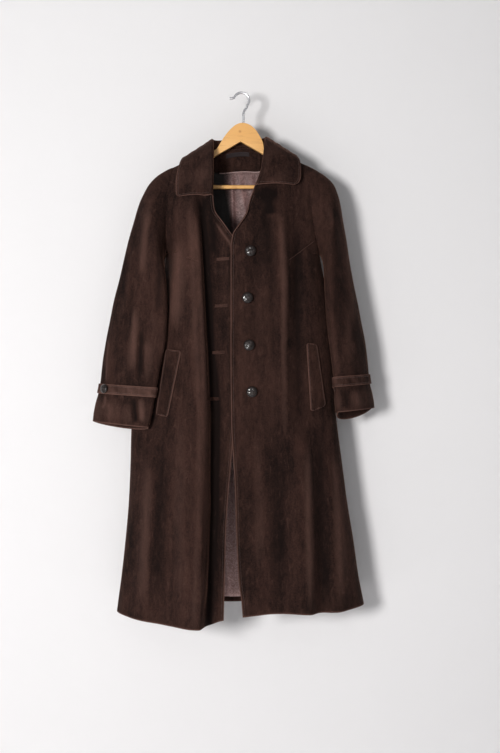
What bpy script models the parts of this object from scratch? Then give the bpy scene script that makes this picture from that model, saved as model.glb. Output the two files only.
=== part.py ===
# A long velvet coat, unbuttoned, hanging on a wooden hanger by its metal hook.
# Tables and lengths are in millimetres. The origin is the inside top of the hook, the coat's
# front faces -Y, +X is to the viewer's right and +Z is up.

import math
from collections import namedtuple

import bmesh
import bpy
import numpy as np
from mathutils import Vector

MM = 0.001
SEAM = 0.3
ARMHOLE_GAP = 0.85
LAID_ON = 1.7
COLLAR_SEAT = 2.9
CLOTH = 2.0
COLLAR_CLOTH = 2.4
LINING = 1.0
STRAP_CLOTH = 2.2
WELT_CLOTH = 2.2

SHOULDER = -165.0
UNDERARM = -368.0
HEM = -1188.0
ARMHOLE_DEPTH = 31.0
RIM_EASE = 0.997
ARMHOLE_BLEND = 1.6
RIM_FADE = 6.0
SEAM_ROUND = 10.0
SIDE_POWER = 2.2
BACK_POWER = 2.8
SLOPE_FADES_AT = 300.0
HEM_STARTS_AT = 900.0
FOLD_FADE = 90.0

BUTTON_RADIUS = 12.4
BUTTON_THICK = 9.0
BUTTON_SIDES = 14
BUTTON_RINGS = 7
CUFF_BUTTON_RADIUS = 10.5
BUTTON_GAP = 0.9
CUFF_STEP_ROUND = 0.05
CUFF_STEP_DOWN = 0.2

ARMHOLE_ROWS = 10
SKIRT_ROWS = 15
FRONT_COLUMNS = 15
BACK_COLUMNS = 19
SLEEVE_ROWS = 18
STRAP_ROWS = 3
COLLAR_COLUMNS = 35
WELT_ROWS = 8
WELT_COLUMNS = 4
SPREAD_HEIGHT = -900.0
SPREAD_STEPS = 200
NORMAL_STEP = 0.004

FACING_TOP = 2.0
FACING_DEPTH = 36.0
FACING_ROWS = 5
FACING_COLUMNS = 12
FACING_GAP = 2.1
FACING_LEFT = -51.0
FACING_RIGHT = 46.0
LINING_HEM = 12.0
LINING_GAP = 1.0
LINING_TRIM = 1
LABEL_ACROSS = (-36.0, 20.0)
LABEL_DOWN = (4.0, 12.0)
LABEL_THICK = 0.6
LABEL_ROWS = 3
LABEL_COLUMNS = 7

HOOK_WIRE = 3.0
HOOK_RADIUS = 14.7 + HOOK_WIRE
HOOK_CENTRE_X = 1.0
STEM_X = 5.5
HOOK_STEM_GAP = 0.6
HANGER_THICK = 12.0
HANGER_ROUND = 5.2
HANGER_REST = 2.7
HANGER_LEFT = -148.0
HANGER_RIGHT = 138.0
ARM_POINTS = 8
DOME_LEFT = -60.0
DOME_RIGHT = 52.0
LOBE_WIDTH = 20.0
LOBE_MARGIN = 6.0
LOBE_INSET = 3.0
ARM_UNDER_LEFT = -184.0
ARM_UNDER_RIGHT = -178.0
BAR_RADIUS = 4.5
BAR_HEIGHT = -214.0

# The body's section at each height: the side seams' x, the side seam's y below the armhole, how
# far the front and back reach from the hanger's plane, and how square the section's corners are.
Section = namedtuple("Section", "height left right side front back corner")
BODY = (
    Section(-165, -157, 147, 0, 0, 0, 1.0),
    Section(-175, -159, 149, 0, 20, 21, 1.0),
    Section(-190, -162, 151, 0, 33, 34, 1.0),
    Section(-215, -166, 154, 0, 45, 43, 1.05),
    Section(-244, -169, 157, 0, 53, 47, 1.1),
    Section(-317, -170, 168, 0, 63, 50, 1.3),
    Section(-345, -170, 174, 0, 64, 51, 1.6),
    Section(-368, -172, 180, 0, 66, 52, 1.8),
    Section(-474, -193, 198, -4, 70, 54, 2.0),
    Section(-589, -216, 209, -7, 76, 55, 2.0),
    Section(-704, -240, 215, -8, 82, 57, 2.0),
    Section(-766, -251, 221, -8, 85, 58, 2.0),
    Section(-842, -253, 231, -8, 88, 59, 2.0),
    Section(-934, -257, 243, -8, 92, 61, 2.0),
    Section(-1026, -265, 257, -8, 95, 63, 2.1),
    Section(-1118, -275, 269, -8, 98, 65, 2.1),
    Section(-1188, -284, 282, -8, 100, 66, 2.1),
)

# What the slope of the shoulders adds to the height, and what the hem adds to it.
Spot = namedtuple("Spot", "x lift")
SHOULDER_SLOPE = (Spot(-157, -5), Spot(-64, 38), Spot(0, 58), Spot(56, 43), Spot(147, 2))
FRONT_HEM = (
    Spot(-284, 2), Spot(-240, -6), Spot(-115, -16), Spot(-70, -14.5), Spot(-42, -4),
    Spot(8, 6), Spot(100, 13), Spot(200, 10), Spot(282, 18),
)
BACK_HEM = (Spot(-284, 2), Spot(0, 8), Spot(282, 18))

# The folds that hang in the cloth: where each starts and ends, its x at the top, middle and
# bottom, how far it stands out there (less than nothing is a valley), and its two flanks.
Fold = namedtuple("Fold", "name top bottom x_top x_mid x_low out_top out_low left right")
FRONT_FOLDS = (
    Fold("roll", -205, -1300, -110, -84, -90, 12, 42, 62, 11),
    Fold("roll_valley", -205, -1300, -86, -58, -63, -9, -13, 11, 22),
    Fold("chest_left", -240, -640, -140, -142, -150, 7, 5, 24, 22),
    Fold("skirt_left", -760, -1300, -205, -212, -224, 2, 8, 26, 34),
    Fold("chest_right", -225, -820, 88, 94, 100, 11, 9, 38, 24),
    Fold("chest_right_valley", -280, -780, 126, 130, 134, -5, -4, 20, 18),
    Fold("skirt_right", -700, -1300, 138, 147, 153, 6, 20, 52, 17),
    Fold("skirt_right_valley", -760, -1300, 172, 176, 180, -5, -8, 14, 18),
    Fold("side_right", -840, -1300, 208, 216, 224, 3, 9, 16, 20),
)
BACK_FOLDS = (
    Fold("back_left", -420, -1300, -130, -160, -185, 3, 9, 40, 30),
    Fold("back_middle_left", -300, -1300, -50, -62, -70, 3, 8, 34, 42),
    Fold("back_middle_right", -330, -1300, 46, 55, 66, 3, 9, 40, 30),
    Fold("back_right", -440, -1300, 128, 150, 172, 3, 8, 30, 38),
)

# The front edge of each front panel, with the neckline above it. The curl is how far, in
# degrees, the edge turns outward where the neck is left open.
Edge = namedtuple("Edge", "height x curl")
BUTTONHOLE_EDGE = (
    Edge(-165, -65, 0), Edge(-235, -66, 0), Edge(-252, -66, 10), Edge(-273, -64, 45),
    Edge(-305, -42, 45), Edge(-344, -15, 20), Edge(-362, -2, 0), Edge(-400, 3, 0),
    Edge(-600, 0, 0), Edge(-700, -8, 0), Edge(-761, -18, 0), Edge(-834, -24, 0),
    Edge(-903, -30, 0), Edge(-997, -36, 0), Edge(-1113, -39, 0), Edge(-1188, -41, 0),
)
BUTTON_EDGE = (
    Edge(-165, 57, 0), Edge(-202, 52, 0), Edge(-228, 42, 0), Edge(-244, 33, 25),
    Edge(-262, 26, 95), Edge(-285, 17, 150), Edge(-312, -1, 150), Edge(-337, -15, 60),
    Edge(-362, -19, 0), Edge(-600, -19, 0), Edge(-761, -17, 0), Edge(-880, -10, 0),
    Edge(-997, -6, 0), Edge(-1113, 0, 0), Edge(-1150, 5, 0), Edge(-1188, 8, 0),
)
CURL_RADIUS = 4.0
CURL_POINTS = 3
CURL_OPENS = 60.0
EDGE_STEP = 1.2
OVERLAP_LIFT = 3.8
OVERLAP_REACH = 60.0
LIFT_STARTS = (255.0, 325.0)
BACK_NECK = (
    Spot(-65, 0), Spot(-57, 5), Spot(-36, 10), Spot(-5, 12), Spot(28, 10), Spot(49, 5), Spot(57, 0),
)

# A sleeve's rings: its outer and inner points, the cloth's depth before and behind the line
# between them, and how much lower the back hangs.
Ring = namedtuple("Ring", "name ox oy oz ix iy iz front back drop")
SLEEVE_VIEWER_LEFT = (
    Ring("armhole", -157, 0, -170, -172, 0, -368, 31, 31, 0),
    Ring("cap", -197, 0, -190, -174, -22, -386, 34, 32, 0),
    Ring("head", -228, -2, -240, -172, -46, -408, 32, 30, 0),
    Ring("upper", -250, -4, -312, -168, -58, -446, 28, 27, 0),
    Ring("elbow_top", -272, -7, -400, -165, -64, -500, 26, 24, 0),
    Ring("elbow", -296, -10, -505, -168, -69, -560, 25, 22, 0),
    Ring("forearm", -314, -12, -605, -180, -74, -625, 24, 22, 0),
    Ring("strap_top", -321, -13, -666, -189, -77, -674, 23, 22, 0),
    Ring("strap_bottom", -325, -13, -688, -193, -77, -696, 23, 22, 1),
    Ring("cuff", -338, -13, -752, -207, -77, -764, 23, 22, 9),
)
SLEEVE_VIEWER_RIGHT = (
    Ring("armhole", 147, 0, -163, 180, 0, -368, 31, 31, 0),
    Ring("cap", 200, 2, -190, 186, -16, -384, 34, 33, 0),
    Ring("head", 226, 4, -242, 189, -36, -408, 34, 32, 0),
    Ring("upper", 239, 6, -318, 190, -46, -446, 32, 30, 0),
    Ring("elbow_top", 251, 9, -395, 193, -52, -500, 30, 28, 0),
    Ring("elbow", 268, 12, -490, 199, -56, -555, 29, 26, 0),
    Ring("forearm", 283, 14, -580, 207, -62, -610, 28, 25, 2),
    Ring("strap_top", 290, 16, -645, 212, -64, -650, 27, 25, 4),
    Ring("strap_bottom", 293, 16, -667, 214, -64, -673, 27, 25, 6),
    Ring("cuff", 304, 16, -722, 219, -64, -730, 27, 25, 20),
)
STRAP_RINGS = (7.0, 8.0)
CUFF_STRAP_OUT = 1.0

# The collar from its viewer's-left end round the neck: where it is sewn on and where its edge
# lies, each as an x and a distance down the front (down the back is less than nothing), the
# stand's height, how upright the stand is, and how far the edge stands off the coat.
Fall = namedtuple("Fall", "name neck_x neck_down edge_x edge_down stand upright off")
COLLAR = (
    Fall("end_left", -64, 88, -137, 82, 9, 0.0, 6),
    Fall("corner_left", -64, 84, -144, 74, 9, 0.0, 6),
    Fall("leaf_left", -63, 58, -145, 48, 11, 0.15, 7),
    Fall("shoulder_left", -64, 22, -138, 14, 18, 0.7, 9),
    Fall("side_left", -65, 1, -122, -10, 22, 1.0, 9),
    Fall("back_left", -36, -10, -76, -45, 24, 1.0, 7),
    Fall("back", -4, -13, -4, -54, 24, 1.0, 6),
    Fall("back_right", 28, -10, 66, -45, 24, 1.0, 7),
    Fall("side_right", 57, 1, 112, -10, 22, 1.0, 9),
    Fall("shoulder_right", 53, 24, 132, 14, 18, 0.7, 11),
    Fall("leaf_right", 46, 54, 133, 38, 11, 0.15, 11),
    Fall("corner_right", 37, 71, 129, 54, 9, 0.0, 10),
    Fall("end_right", 35, 76, 119, 62, 9, 0.0, 9),
)

# The collar's section from its seam over the roll to its edge: the reach across and the share of
# the stand's height. The stand is the first few.
Bend = namedtuple("Bend", "reach height")
COLLAR_SECTION = (
    Bend(0.0, 0.0), Bend(0.0, 0.55), Bend(0.012, 0.86), Bend(0.055, 1.0), Bend(0.11, 0.93),
    Bend(0.25, 0.72), Bend(0.5, 0.42), Bend(0.75, 0.18), Bend(1.0, 0.0),
)
STAND_BENDS = 3

Corner = namedtuple("Corner", "x height")
WELT_VIEWER_LEFT = (
    Corner(-167, -588), Corner(-131, -593), Corner(-162, -741), Corner(-190, -735),
)
WELT_VIEWER_RIGHT = (
    Corner(147, -574), Corner(171, -577), Corner(191, -716), Corner(156, -730),
)

Sewn = namedtuple("Sewn", "name x height")
BUTTONS = (
    Sewn("button_1", 21.5, -369), Sewn("button_2", 15, -474),
    Sewn("button_3", 18.5, -580), Sewn("button_4", 24.5, -684),
)

# The domed top of the hanger between the two arms, and the peak of its underside.
DOME = (
    Corner(-54, -125), Corner(-48, -115), Corner(-41, -103.5), Corner(-32, -91), Corner(-22, -80),
    Corner(-11, -71.5), Corner(1, -67.6), Corner(13, -69), Corner(24, -74.5), Corner(34, -84),
    Corner(42, -96), Corner(48, -107), Corner(51, -116),
)
DOME_PEAK = -67.6
UNDER_TOP = Corner(-1, -110)

# The hook's wire: its stem above the dome, the arc round its centre and the tip after the arc.
HOOK_STEM = (Corner(0, 0), Corner(0, 12), Corner(0, 22), Corner(2.4, 29), Corner(7.4, 35.5))
HOOK_ARC = (-42.0, 156.0)
HOOK_ARC_POINTS = 13
HOOK_TIP = (Corner(-4.5, -2.2), Corner(-10.5, -2.4))
CUFF_BUTTON_TURN = {"left": math.radians(54), "right": math.radians(-54)}

Paint = namedtuple("Paint", "color roughness metallic")
VELVET = Paint((0.032, 0.018, 0.014), 0.85, 0.0)
SATIN = Paint((0.14, 0.085, 0.09), 0.45, 0.0)
LABEL = Paint((0.012, 0.011, 0.013), 0.6, 0.0)
LEATHER = Paint((0.02, 0.014, 0.012), 0.3, 0.0)
WOOD = Paint((0.72, 0.42, 0.17), 0.45, 0.0)
CHROME = Paint((0.78, 0.78, 0.8), 0.18, 1.0)


# Reading the tables

class Track:
    """A value that runs smoothly through a table's rows without overshooting them."""

    def __init__(self, places, values):
        order = np.argsort(places)
        self.places = np.asarray(places, float)[order]
        self.values = np.asarray(values, float)[order]
        steps = np.diff(self.values) / np.diff(self.places)
        self.slopes = np.zeros(len(self.values))
        self.slopes[0] = steps[0]
        self.slopes[-1] = steps[-1]
        for i in range(1, len(steps)):
            if steps[i - 1] * steps[i] > 0:
                self.slopes[i] = 2 * steps[i - 1] * steps[i] / (steps[i - 1] + steps[i])

    def __call__(self, place):
        p = min(max(place, self.places[0]), self.places[-1])
        i = min(int(np.searchsorted(self.places, p, side="right")) - 1, len(self.places) - 2)
        width = self.places[i + 1] - self.places[i]
        f = (p - self.places[i]) / width
        start = (1 + 2 * f) * (1 - f) ** 2 * self.values[i]
        end = f * f * (3 - 2 * f) * self.values[i + 1]
        bend = f * (1 - f) * ((1 - f) * self.slopes[i] - f * self.slopes[i + 1]) * width
        return start + end + bend


def tracks(rows, key):
    """One Track for each column of a table, over the column named key."""
    places = [getattr(row, key) for row in rows]
    return {
        column: Track(places, [getattr(row, column) for row in rows])
        for column in rows[0]._fields
        if column not in (key, "name")
    }


def indexed(rows):
    """One Track for each column, over the rows' numbers."""
    return {
        column: Track(range(len(rows)), [getattr(row, column) for row in rows])
        for column in rows[0]._fields
        if column != "name"
    }


def ease(value, start, end):
    f = min(max((value - start) / (end - start), 0.0), 1.0)
    return f * f * (3 - 2 * f)


def unit(vector):
    return vector / max(float(np.linalg.norm(vector)), 1e-9)


# The body's surface

body = tracks(BODY, "height")
slope_of = tracks(SHOULDER_SLOPE, "x")["lift"]
hem_of = {"front": tracks(FRONT_HEM, "x")["lift"], "back": tracks(BACK_HEM, "x")["lift"]}
folds_of = {"front": FRONT_FOLDS, "back": BACK_FOLDS}
edge_of = {"left": tracks(BUTTONHOLE_EDGE, "height"), "right": tracks(BUTTON_EDGE, "height")}
neck_of = tracks(BACK_NECK, "x")["lift"]


def middle(height):
    return (body["left"](height) + body["right"](height)) / 2


def half_width(height):
    return (body["right"](height) - body["left"](height)) / 2


def across(x, height):
    """x as a share of the half width, from -1 at one side seam to 1 at the other."""
    return min(max((x - middle(height)) / half_width(height), -1.0), 1.0)


def rim_depth(height, inside=0.0):
    """Half of the armhole's depth at a height, or nothing below it. inside is 0 at the armhole's
    rim and 1 well inside the panel, where the depth fades out gently at the underarm."""
    mid = (SHOULDER + UNDERARM) / 2
    share = (height - mid) / (SHOULDER - mid)
    power = 0.5 + (inside if share < 0 else 0.0)
    return ARMHOLE_DEPTH * max(1 - share * share, 0.0) ** power


def fold_out(fold, x, height):
    """How far one fold moves the cloth out at a place."""
    if height >= fold.top or height <= fold.bottom:
        return 0.0
    along = (fold.top - height) / (fold.top - max(fold.bottom, HEM))
    line = Track((0.0, 0.5, 1.0), (fold.x_top, fold.x_mid, fold.x_low))
    off = x - line(along)
    flank = fold.left if off < 0 else fold.right
    out = fold.out_top + (fold.out_low - fold.out_top) * min(along, 1.0)
    start = ease(fold.top - height, 0, FOLD_FADE)
    end = ease(height - fold.bottom, 0, FOLD_FADE)
    return out * start * end * math.exp(-((off / flank) ** 2))


def body_point(face, share, height):
    """A point of the coat's outer surface. share runs from -1 at the viewer's left seam to 1."""
    x = middle(height) + half_width(height) * share
    out = 1 if face == "back" else -1
    power = BACK_POWER if face == "back" else SIDE_POWER
    bulge = max(1 - abs(share) ** power, 0.0) ** (1 / body["corner"](height))
    seam = body["side"](height) + out * rim_depth(height, 1 - abs(share) ** RIM_FADE)
    y = seam + (out * body[face](height) - seam) * bulge
    loose = 1 - abs(share) ** SEAM_ROUND
    y += out * loose * sum(fold_out(fold, x, height) for fold in folds_of[face])
    z = height + slope_of(x) * (1 - ease(-height, -SHOULDER, SLOPE_FADES_AT))
    z += hem_of[face](x) * ease(-height, HEM_STARTS_AT, -HEM)
    return np.array((x, y, z))


def body_normal(face, share, height):
    """The surface's outward direction at a place, from small steps on it."""
    a = body_point(face, min(share + NORMAL_STEP, 1.0), height) - body_point(
        face, max(share - NORMAL_STEP, -1.0), height)
    b = body_point(face, share, height - 1) - body_point(face, share, min(height + 1, SHOULDER))
    out = np.cross(b, a)
    return unit(out if (out[1] > 0) == (face == "back") else -out)


def neck_place(x, down):
    """Where a point of the collar's pattern lies: the face, the share and the height."""
    face = "front" if down >= 0 else "back"
    height = SHOULDER - abs(down)
    return face, across(x, height), height


# Walls of cloth

def normals_of(grid, wrap):
    """Each grid point's outward direction, with rows down and columns across."""
    down = np.gradient(grid, axis=0)
    if wrap:
        side = np.roll(grid, -1, axis=1) - np.roll(grid, 1, axis=1)
    else:
        side = np.gradient(grid, axis=1)
    out = np.cross(down, side)
    length = np.linalg.norm(out, axis=2, keepdims=True)
    return out / np.maximum(length, 1e-9)


def flatten(normals, where, axis):
    """Takes one axis out of the directions along a seam, so that its two sides stay parallel."""
    part = normals[where].copy()
    part[..., axis] = 0.0
    normals[where] = part / np.maximum(np.linalg.norm(part, axis=-1, keepdims=True), 1e-9)


def wall_between(name, outer, inner, paint, wrap=False):
    """Makes a closed solid between two grids of points, both cut along the same diagonals."""
    rows, columns = outer.shape[:2]
    mesh = bmesh.new()
    sides = []
    for grid in (outer, inner):
        sides.append([[mesh.verts.new(point * MM) for point in row] for row in grid])
    spans = columns if wrap else columns - 1
    for i in range(rows - 1):
        for j in range(spans):
            k = (j + 1) % columns
            corners = [(i, j), (i + 1, j), (i + 1, k), (i, k)]
            one, two, three, four = (outer[corner] for corner in corners)
            if np.linalg.norm(one - three) > np.linalg.norm(two - four):
                corners = corners[1:] + corners[:1]
            for side, turn in ((sides[0], 1), (sides[1], -1)):
                a, b, c, d = (side[row][column] for row, column in corners)
                mesh.faces.new((a, b, c)[::turn])
                mesh.faces.new((a, c, d)[::turn])
    out, into = sides
    for j in range(spans):
        k = (j + 1) % columns
        mesh.faces.new((out[0][k], into[0][k], into[0][j], out[0][j]))
        mesh.faces.new((out[-1][j], into[-1][j], into[-1][k], out[-1][k]))
    if not wrap:
        for i in range(rows - 1):
            mesh.faces.new((out[i][0], into[i][0], into[i + 1][0], out[i + 1][0]))
            mesh.faces.new((out[i + 1][-1], into[i + 1][-1], into[i][-1], out[i][-1]))
    bmesh.ops.recalc_face_normals(mesh, faces=mesh.faces)
    finish(name, mesh, paint)


def finish(name, mesh, paint):
    """Makes the object, gives it its material and puts it in the coat's collection."""
    data = bpy.data.meshes.new(name)
    mesh.to_mesh(data)
    mesh.free()
    data.shade_smooth()
    thing = bpy.data.objects.new(name, data)
    data.materials.append(material(name, paint))
    coat.objects.link(thing)
    return thing


def material(name, paint):
    made = bpy.data.materials.new(name + "_finish")
    made.use_nodes = True
    shader = made.node_tree.nodes["Principled BSDF"]
    shader.inputs["Base Color"].default_value = (*paint.color, 1.0)
    shader.inputs["Roughness"].default_value = paint.roughness
    shader.inputs["Metallic"].default_value = paint.metallic
    return made


def even_shares(face, start, end, height, count):
    """Shares from start to end with an even length of cloth between them at a height."""
    fine = np.linspace(start, end, SPREAD_STEPS + 1)
    points = [body_point(face, math.sin(f * math.pi / 2), height) for f in fine]
    lengths = [0.0]
    for a, b in zip(points, points[1:]):
        lengths.append(lengths[-1] + float(np.linalg.norm(b - a)))
    wanted = np.linspace(0, lengths[-1], count)
    turns = np.interp(wanted, lengths, fine)
    return (turns - start) / (end - start)


def body_heights():
    """Heights of a panel's rows: as the armhole's own points run, then evenly to the hem."""
    mid = (SHOULDER + UNDERARM) / 2
    turns = [math.pi * i / ARMHOLE_ROWS for i in range(ARMHOLE_ROWS)]
    upper = [mid + (SHOULDER - mid) * math.cos(turn) for turn in turns]
    return upper + list(np.linspace(UNDERARM, HEM, SKIRT_ROWS + 1))


def turn_of(share):
    return math.asin(min(max(share, -1.0), 1.0)) * 2 / math.pi


def lifted(side, x, height):
    """How far a panel is held off the one below it where the two fronts overlap."""
    if side == "left":
        return 0.0
    edge = edge_of["right"]["x"](height)
    near = 1 - ease(x - edge, OVERLAP_REACH / 2, OVERLAP_REACH)
    return OVERLAP_LIFT * near * ease(-height, *LIFT_STARTS)


def front_point(side, share, height):
    point = body_point("front", share, height)
    point[1] -= lifted(side, point[0], height)
    return point


def front_grid(side, columns):
    """The outer points of one front, from the viewer's left to right."""
    edge = edge_of[side]
    seam = -1.0 if side == "left" else 1.0
    reach = turn_of(across(edge["x"](SPREAD_HEIGHT), SPREAD_HEIGHT))
    spread = even_shares("front", seam, reach, SPREAD_HEIGHT, columns)
    grid = []
    for height in body_heights():
        stop = turn_of(across(edge["x"](height), height))
        row = [front_point(side, math.sin((seam + (stop - seam) * f) * math.pi / 2), height)
               for f in spread]
        row += curl(row[-2], row[-1], edge["curl"](height))
        grid.append(row if side == "left" else row[::-1])
    return np.array(grid)


def curl(before, last, degrees):
    """The few points by which a front edge turns outward over itself."""
    along = unit(last - before)
    out = unit(np.cross(along, (0, 0, 1)) * (1 if along[0] < 0 else -1))
    out = out if out[1] < 0 else -out
    points = []
    for part in range(1, CURL_POINTS + 1):
        turn = math.radians(degrees) * part / CURL_POINTS
        flat = max(1 - degrees / CURL_OPENS, 0.0) * part * EDGE_STEP
        points.append(last + along * (CURL_RADIUS * math.sin(turn) + flat)
                      + out * CURL_RADIUS * (1 - math.cos(turn)))
    return points


def side_seam(normals, grid, column):
    """Keeps a panel's rim clear of the sleeve above the underarm, and of the next panel below."""
    outward = 1 if grid[-1, column, 0] > 0 else -1
    for row, point in enumerate(grid[:, column]):
        if point[2] <= UNDERARM:
            normals[row, column] = (outward, 0.0, 0.0)
        elif normals[row, column, 0] * outward < 0:
            normals[row, column, 0] = 0.0


def make_fronts():
    for side, name in (("left", "front_buttonhole_side"), ("right", "front_button_side")):
        grid = front_grid(side, FRONT_COLUMNS)
        grid[:, :, 1] -= SEAM / 2
        normals = normals_of(grid, False)
        flatten(normals, (0, slice(None)), 1)
        side_seam(normals, grid, 0 if side == "left" else -1)
        wall_between(name, grid, grid - normals * CLOTH, VELVET)


def back_grid():
    """The outer points of the back, from the viewer's right to left."""
    spread = even_shares("back", -1.0, 1.0, SPREAD_HEIGHT, BACK_COLUMNS)
    shares = [math.sin((2 * f - 1) * math.pi / 2) for f in reversed(spread)]
    grid = []
    for i, height in enumerate(body_heights()):
        fade = max(1 - i / ARMHOLE_ROWS, 0.0)
        row = []
        for share in shares:
            x = middle(SHOULDER) + half_width(SHOULDER) * share
            row.append(body_point("back", share, height - neck_of(x) * fade))
        grid.append(row)
    return np.array(grid)


def make_back():
    """The back, and the satin lining inside it from the neck facing to just above the hem."""
    grid = back_grid()
    grid[:, :, 1] += SEAM / 2
    normals = normals_of(grid, False)
    lining = grid - normals * (CLOTH + LINING_GAP)
    lining_normals = normals.copy()
    beyond_neck = (grid[0, :, 0] < BACK_NECK[0].x) | (grid[0, :, 0] > BACK_NECK[-1].x)
    flatten(normals, (0, beyond_neck), 1)
    side_seam(normals, grid, 0)
    side_seam(normals, grid, -1)
    wall_between("back", grid, grid - normals * CLOTH, VELVET)
    rows = [i for i, height in enumerate(body_heights()) if height < SHOULDER - FACING_DEPTH]
    inset = (slice(rows[0], None), slice(LINING_TRIM, -LINING_TRIM))
    lining, lining_normals = lining[inset], lining_normals[inset]
    short = LINING_HEM / (lining[-2, 0, 2] - lining[-1, 0, 2])
    lining[-1] += (lining[-2] - lining[-1]) * short
    wall_between("back_lining", lining, lining - lining_normals * LINING, SATIN)


def back_patch(across_mm, downs, columns, rows, inside):
    """Points inside the back between two x's and two distances below the neck seam."""
    grid = []
    for v in np.linspace(downs[0], downs[1], rows):
        row = []
        for x in np.linspace(across_mm[1], across_mm[0], columns):
            height = SHOULDER - neck_of(x) - v
            share = across(x, height)
            point = body_point("back", share, height)
            row.append(point - body_normal("back", share, height) * inside)
        grid.append(row)
    return np.array(grid)


def make_neck_facing():
    """The velvet facing inside the back of the neck."""
    span = (FACING_LEFT, FACING_RIGHT)
    downs = (FACING_TOP, FACING_DEPTH)
    depth = CLOTH + FACING_GAP
    near = back_patch(span, downs, FACING_COLUMNS, FACING_ROWS, depth)
    far = back_patch(span, downs, FACING_COLUMNS, FACING_ROWS, depth + LINING)
    wall_between("back_neck_facing", near, far, VELVET)


def make_label():
    """A plain blank label sewn inside the back of the neck."""
    depth = CLOTH + FACING_GAP + LINING + SEAM * 2
    near = back_patch(LABEL_ACROSS, LABEL_DOWN, LABEL_COLUMNS, LABEL_ROWS, depth)
    far = back_patch(LABEL_ACROSS, LABEL_DOWN, LABEL_COLUMNS, LABEL_ROWS, depth + LABEL_THICK)
    wall_between("neck_label", near, far, LABEL)


# Sleeves

def rim_point(side, turn):
    """A point of the armhole. turn 0 is the shoulder, a quarter is the front."""
    mid = (SHOULDER + UNDERARM) / 2
    height = mid + (SHOULDER - mid) * RIM_EASE * math.cos(turn)
    share = -1.0 if side == "left" else 1.0
    face = "front" if math.sin(turn) >= 0 else "back"
    return body_point(face, share, height)


def sleeve_point(side, rings, place, turn):
    """A point of the sleeve's outer surface, at a place along its rings."""
    outer = np.array([rings[key](place) for key in ("ox", "oy", "oz")])
    inner = np.array([rings[key](place) for key in ("ix", "iy", "iz")])
    centre = (outer + inner) / 2
    axis = (outer - inner) / 2
    ahead = unit(np.array((0.0, -1.0, 0.0)) + unit(axis) * unit(axis)[1])
    depth = rings["front"](place) if math.sin(turn) >= 0 else rings["back"](place)
    point = centre + axis * math.cos(turn) + ahead * depth * math.sin(turn)
    point[2] -= rings["drop"](place) * max(-math.sin(turn), 0.0)
    blend = ease(place, 0.0, ARMHOLE_BLEND)
    return rim_point(side, turn) * (1 - blend) + point * blend


def sleeve_grid(side, rings, start, end, rows):
    columns = 2 * ARMHOLE_ROWS
    grid = []
    for place in np.linspace(start, end, rows):
        row = []
        for j in range(columns):
            turn = 2 * math.pi * j / columns
            row.append(sleeve_point(side, rings, place, turn))
        grid.append(row if side == "left" else row[::-1])
    return np.array(grid)


def make_sleeve(side, rows, name):
    rings = indexed(rows)
    grid = sleeve_grid(side, rings, 0.0, len(rows) - 1.0, SLEEVE_ROWS)
    normals = normals_of(grid, True)
    flatten(normals, (0, slice(None)), 0)
    outward = -1 if side == "left" else 1
    grid[:, :, 0] += outward * ARMHOLE_GAP
    wall_between(name, grid, grid - normals * CLOTH, VELVET, wrap=True)


def make_cuff_strap(side, rows, name):
    rings = indexed(rows)
    grid = sleeve_grid(side, rings, STRAP_RINGS[0], STRAP_RINGS[1], STRAP_ROWS)
    normals = normals_of(grid, True)
    outward = -1 if side == "left" else 1
    grid[:, :, 0] += outward * ARMHOLE_GAP
    inner = grid + normals * CUFF_STRAP_OUT
    wall_between(name, inner + normals * STRAP_CLOTH, inner, VELVET, wrap=True)


# Collar, welts and buttons

def collar_grid(columns):
    """The collar's outer points: each column runs from the neck seam over the roll to the edge."""
    falls = indexed(COLLAR)
    grid = []
    for place in np.linspace(0, len(COLLAR) - 1, columns):
        at = {key: track(place) for key, track in falls.items()}
        column = []
        for number, bend in enumerate(COLLAR_SECTION):
            x = at["neck_x"] + (at["edge_x"] - at["neck_x"]) * bend.reach
            down = at["neck_down"] + (at["edge_down"] - at["neck_down"]) * bend.reach
            spot = neck_place(x, down)
            normal = body_normal(*spot)
            rise = unit(normal * (1 - at["upright"]) + np.array((0, 0, 1)) * at["upright"])
            aim = unit(rise * (1 - bend.reach) + normal * bend.reach)
            if number < STAND_BENDS:
                up = COLLAR_SEAT + at["stand"] * bend.height
            else:
                up = at["off"] + (at["stand"] - at["off"]) * bend.height
            column.append(body_point(*spot) + aim * up)
        grid.append(column)
    return np.array(grid).transpose(1, 0, 2)


def make_collar():
    grid = collar_grid(COLLAR_COLUMNS)
    normals = normals_of(grid, False)
    wall_between("collar", grid, grid + normals * COLLAR_CLOTH, VELVET)


def patch_grid(corners, rows, columns, out):
    """Points on a front's surface between four corners, moved out."""
    grid = []
    for v in np.linspace(0, 1, rows):
        row = []
        for u in np.linspace(0, 1, columns):
            weights = ((1 - u) * (1 - v), u * (1 - v), u * v, (1 - u) * v)
            x = sum(w * c.x for w, c in zip(weights, corners))
            height = sum(w * c.height for w, c in zip(weights, corners))
            share = across(x, height)
            point = body_point("front", share, height)
            row.append(point + body_normal("front", share, height) * out)
        grid.append(row)
    return np.array(grid)


def make_welt(name, corners):
    low = patch_grid(corners, WELT_ROWS, WELT_COLUMNS, LAID_ON)
    high = patch_grid(corners, WELT_ROWS, WELT_COLUMNS, LAID_ON + WELT_CLOTH)
    wall_between(name, high, low, VELVET)


def make_button(name, place, normal, radius):
    """A domed button with its axis along the cloth's outward direction."""
    mesh = bmesh.new()
    bmesh.ops.create_uvsphere(mesh, u_segments=BUTTON_SIDES, v_segments=BUTTON_RINGS,
                              radius=radius * MM)
    flat = BUTTON_THICK / 2 / radius
    bmesh.ops.scale(mesh, vec=(1, 1, flat), verts=mesh.verts)
    thing = finish(name, mesh, LEATHER)
    thing.location = Vector(place + normal * (BUTTON_THICK / 2 + BUTTON_GAP)) * MM
    thing.rotation_mode = "QUATERNION"
    thing.rotation_quaternion = Vector(normal).to_track_quat("Z", "Y")


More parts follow.
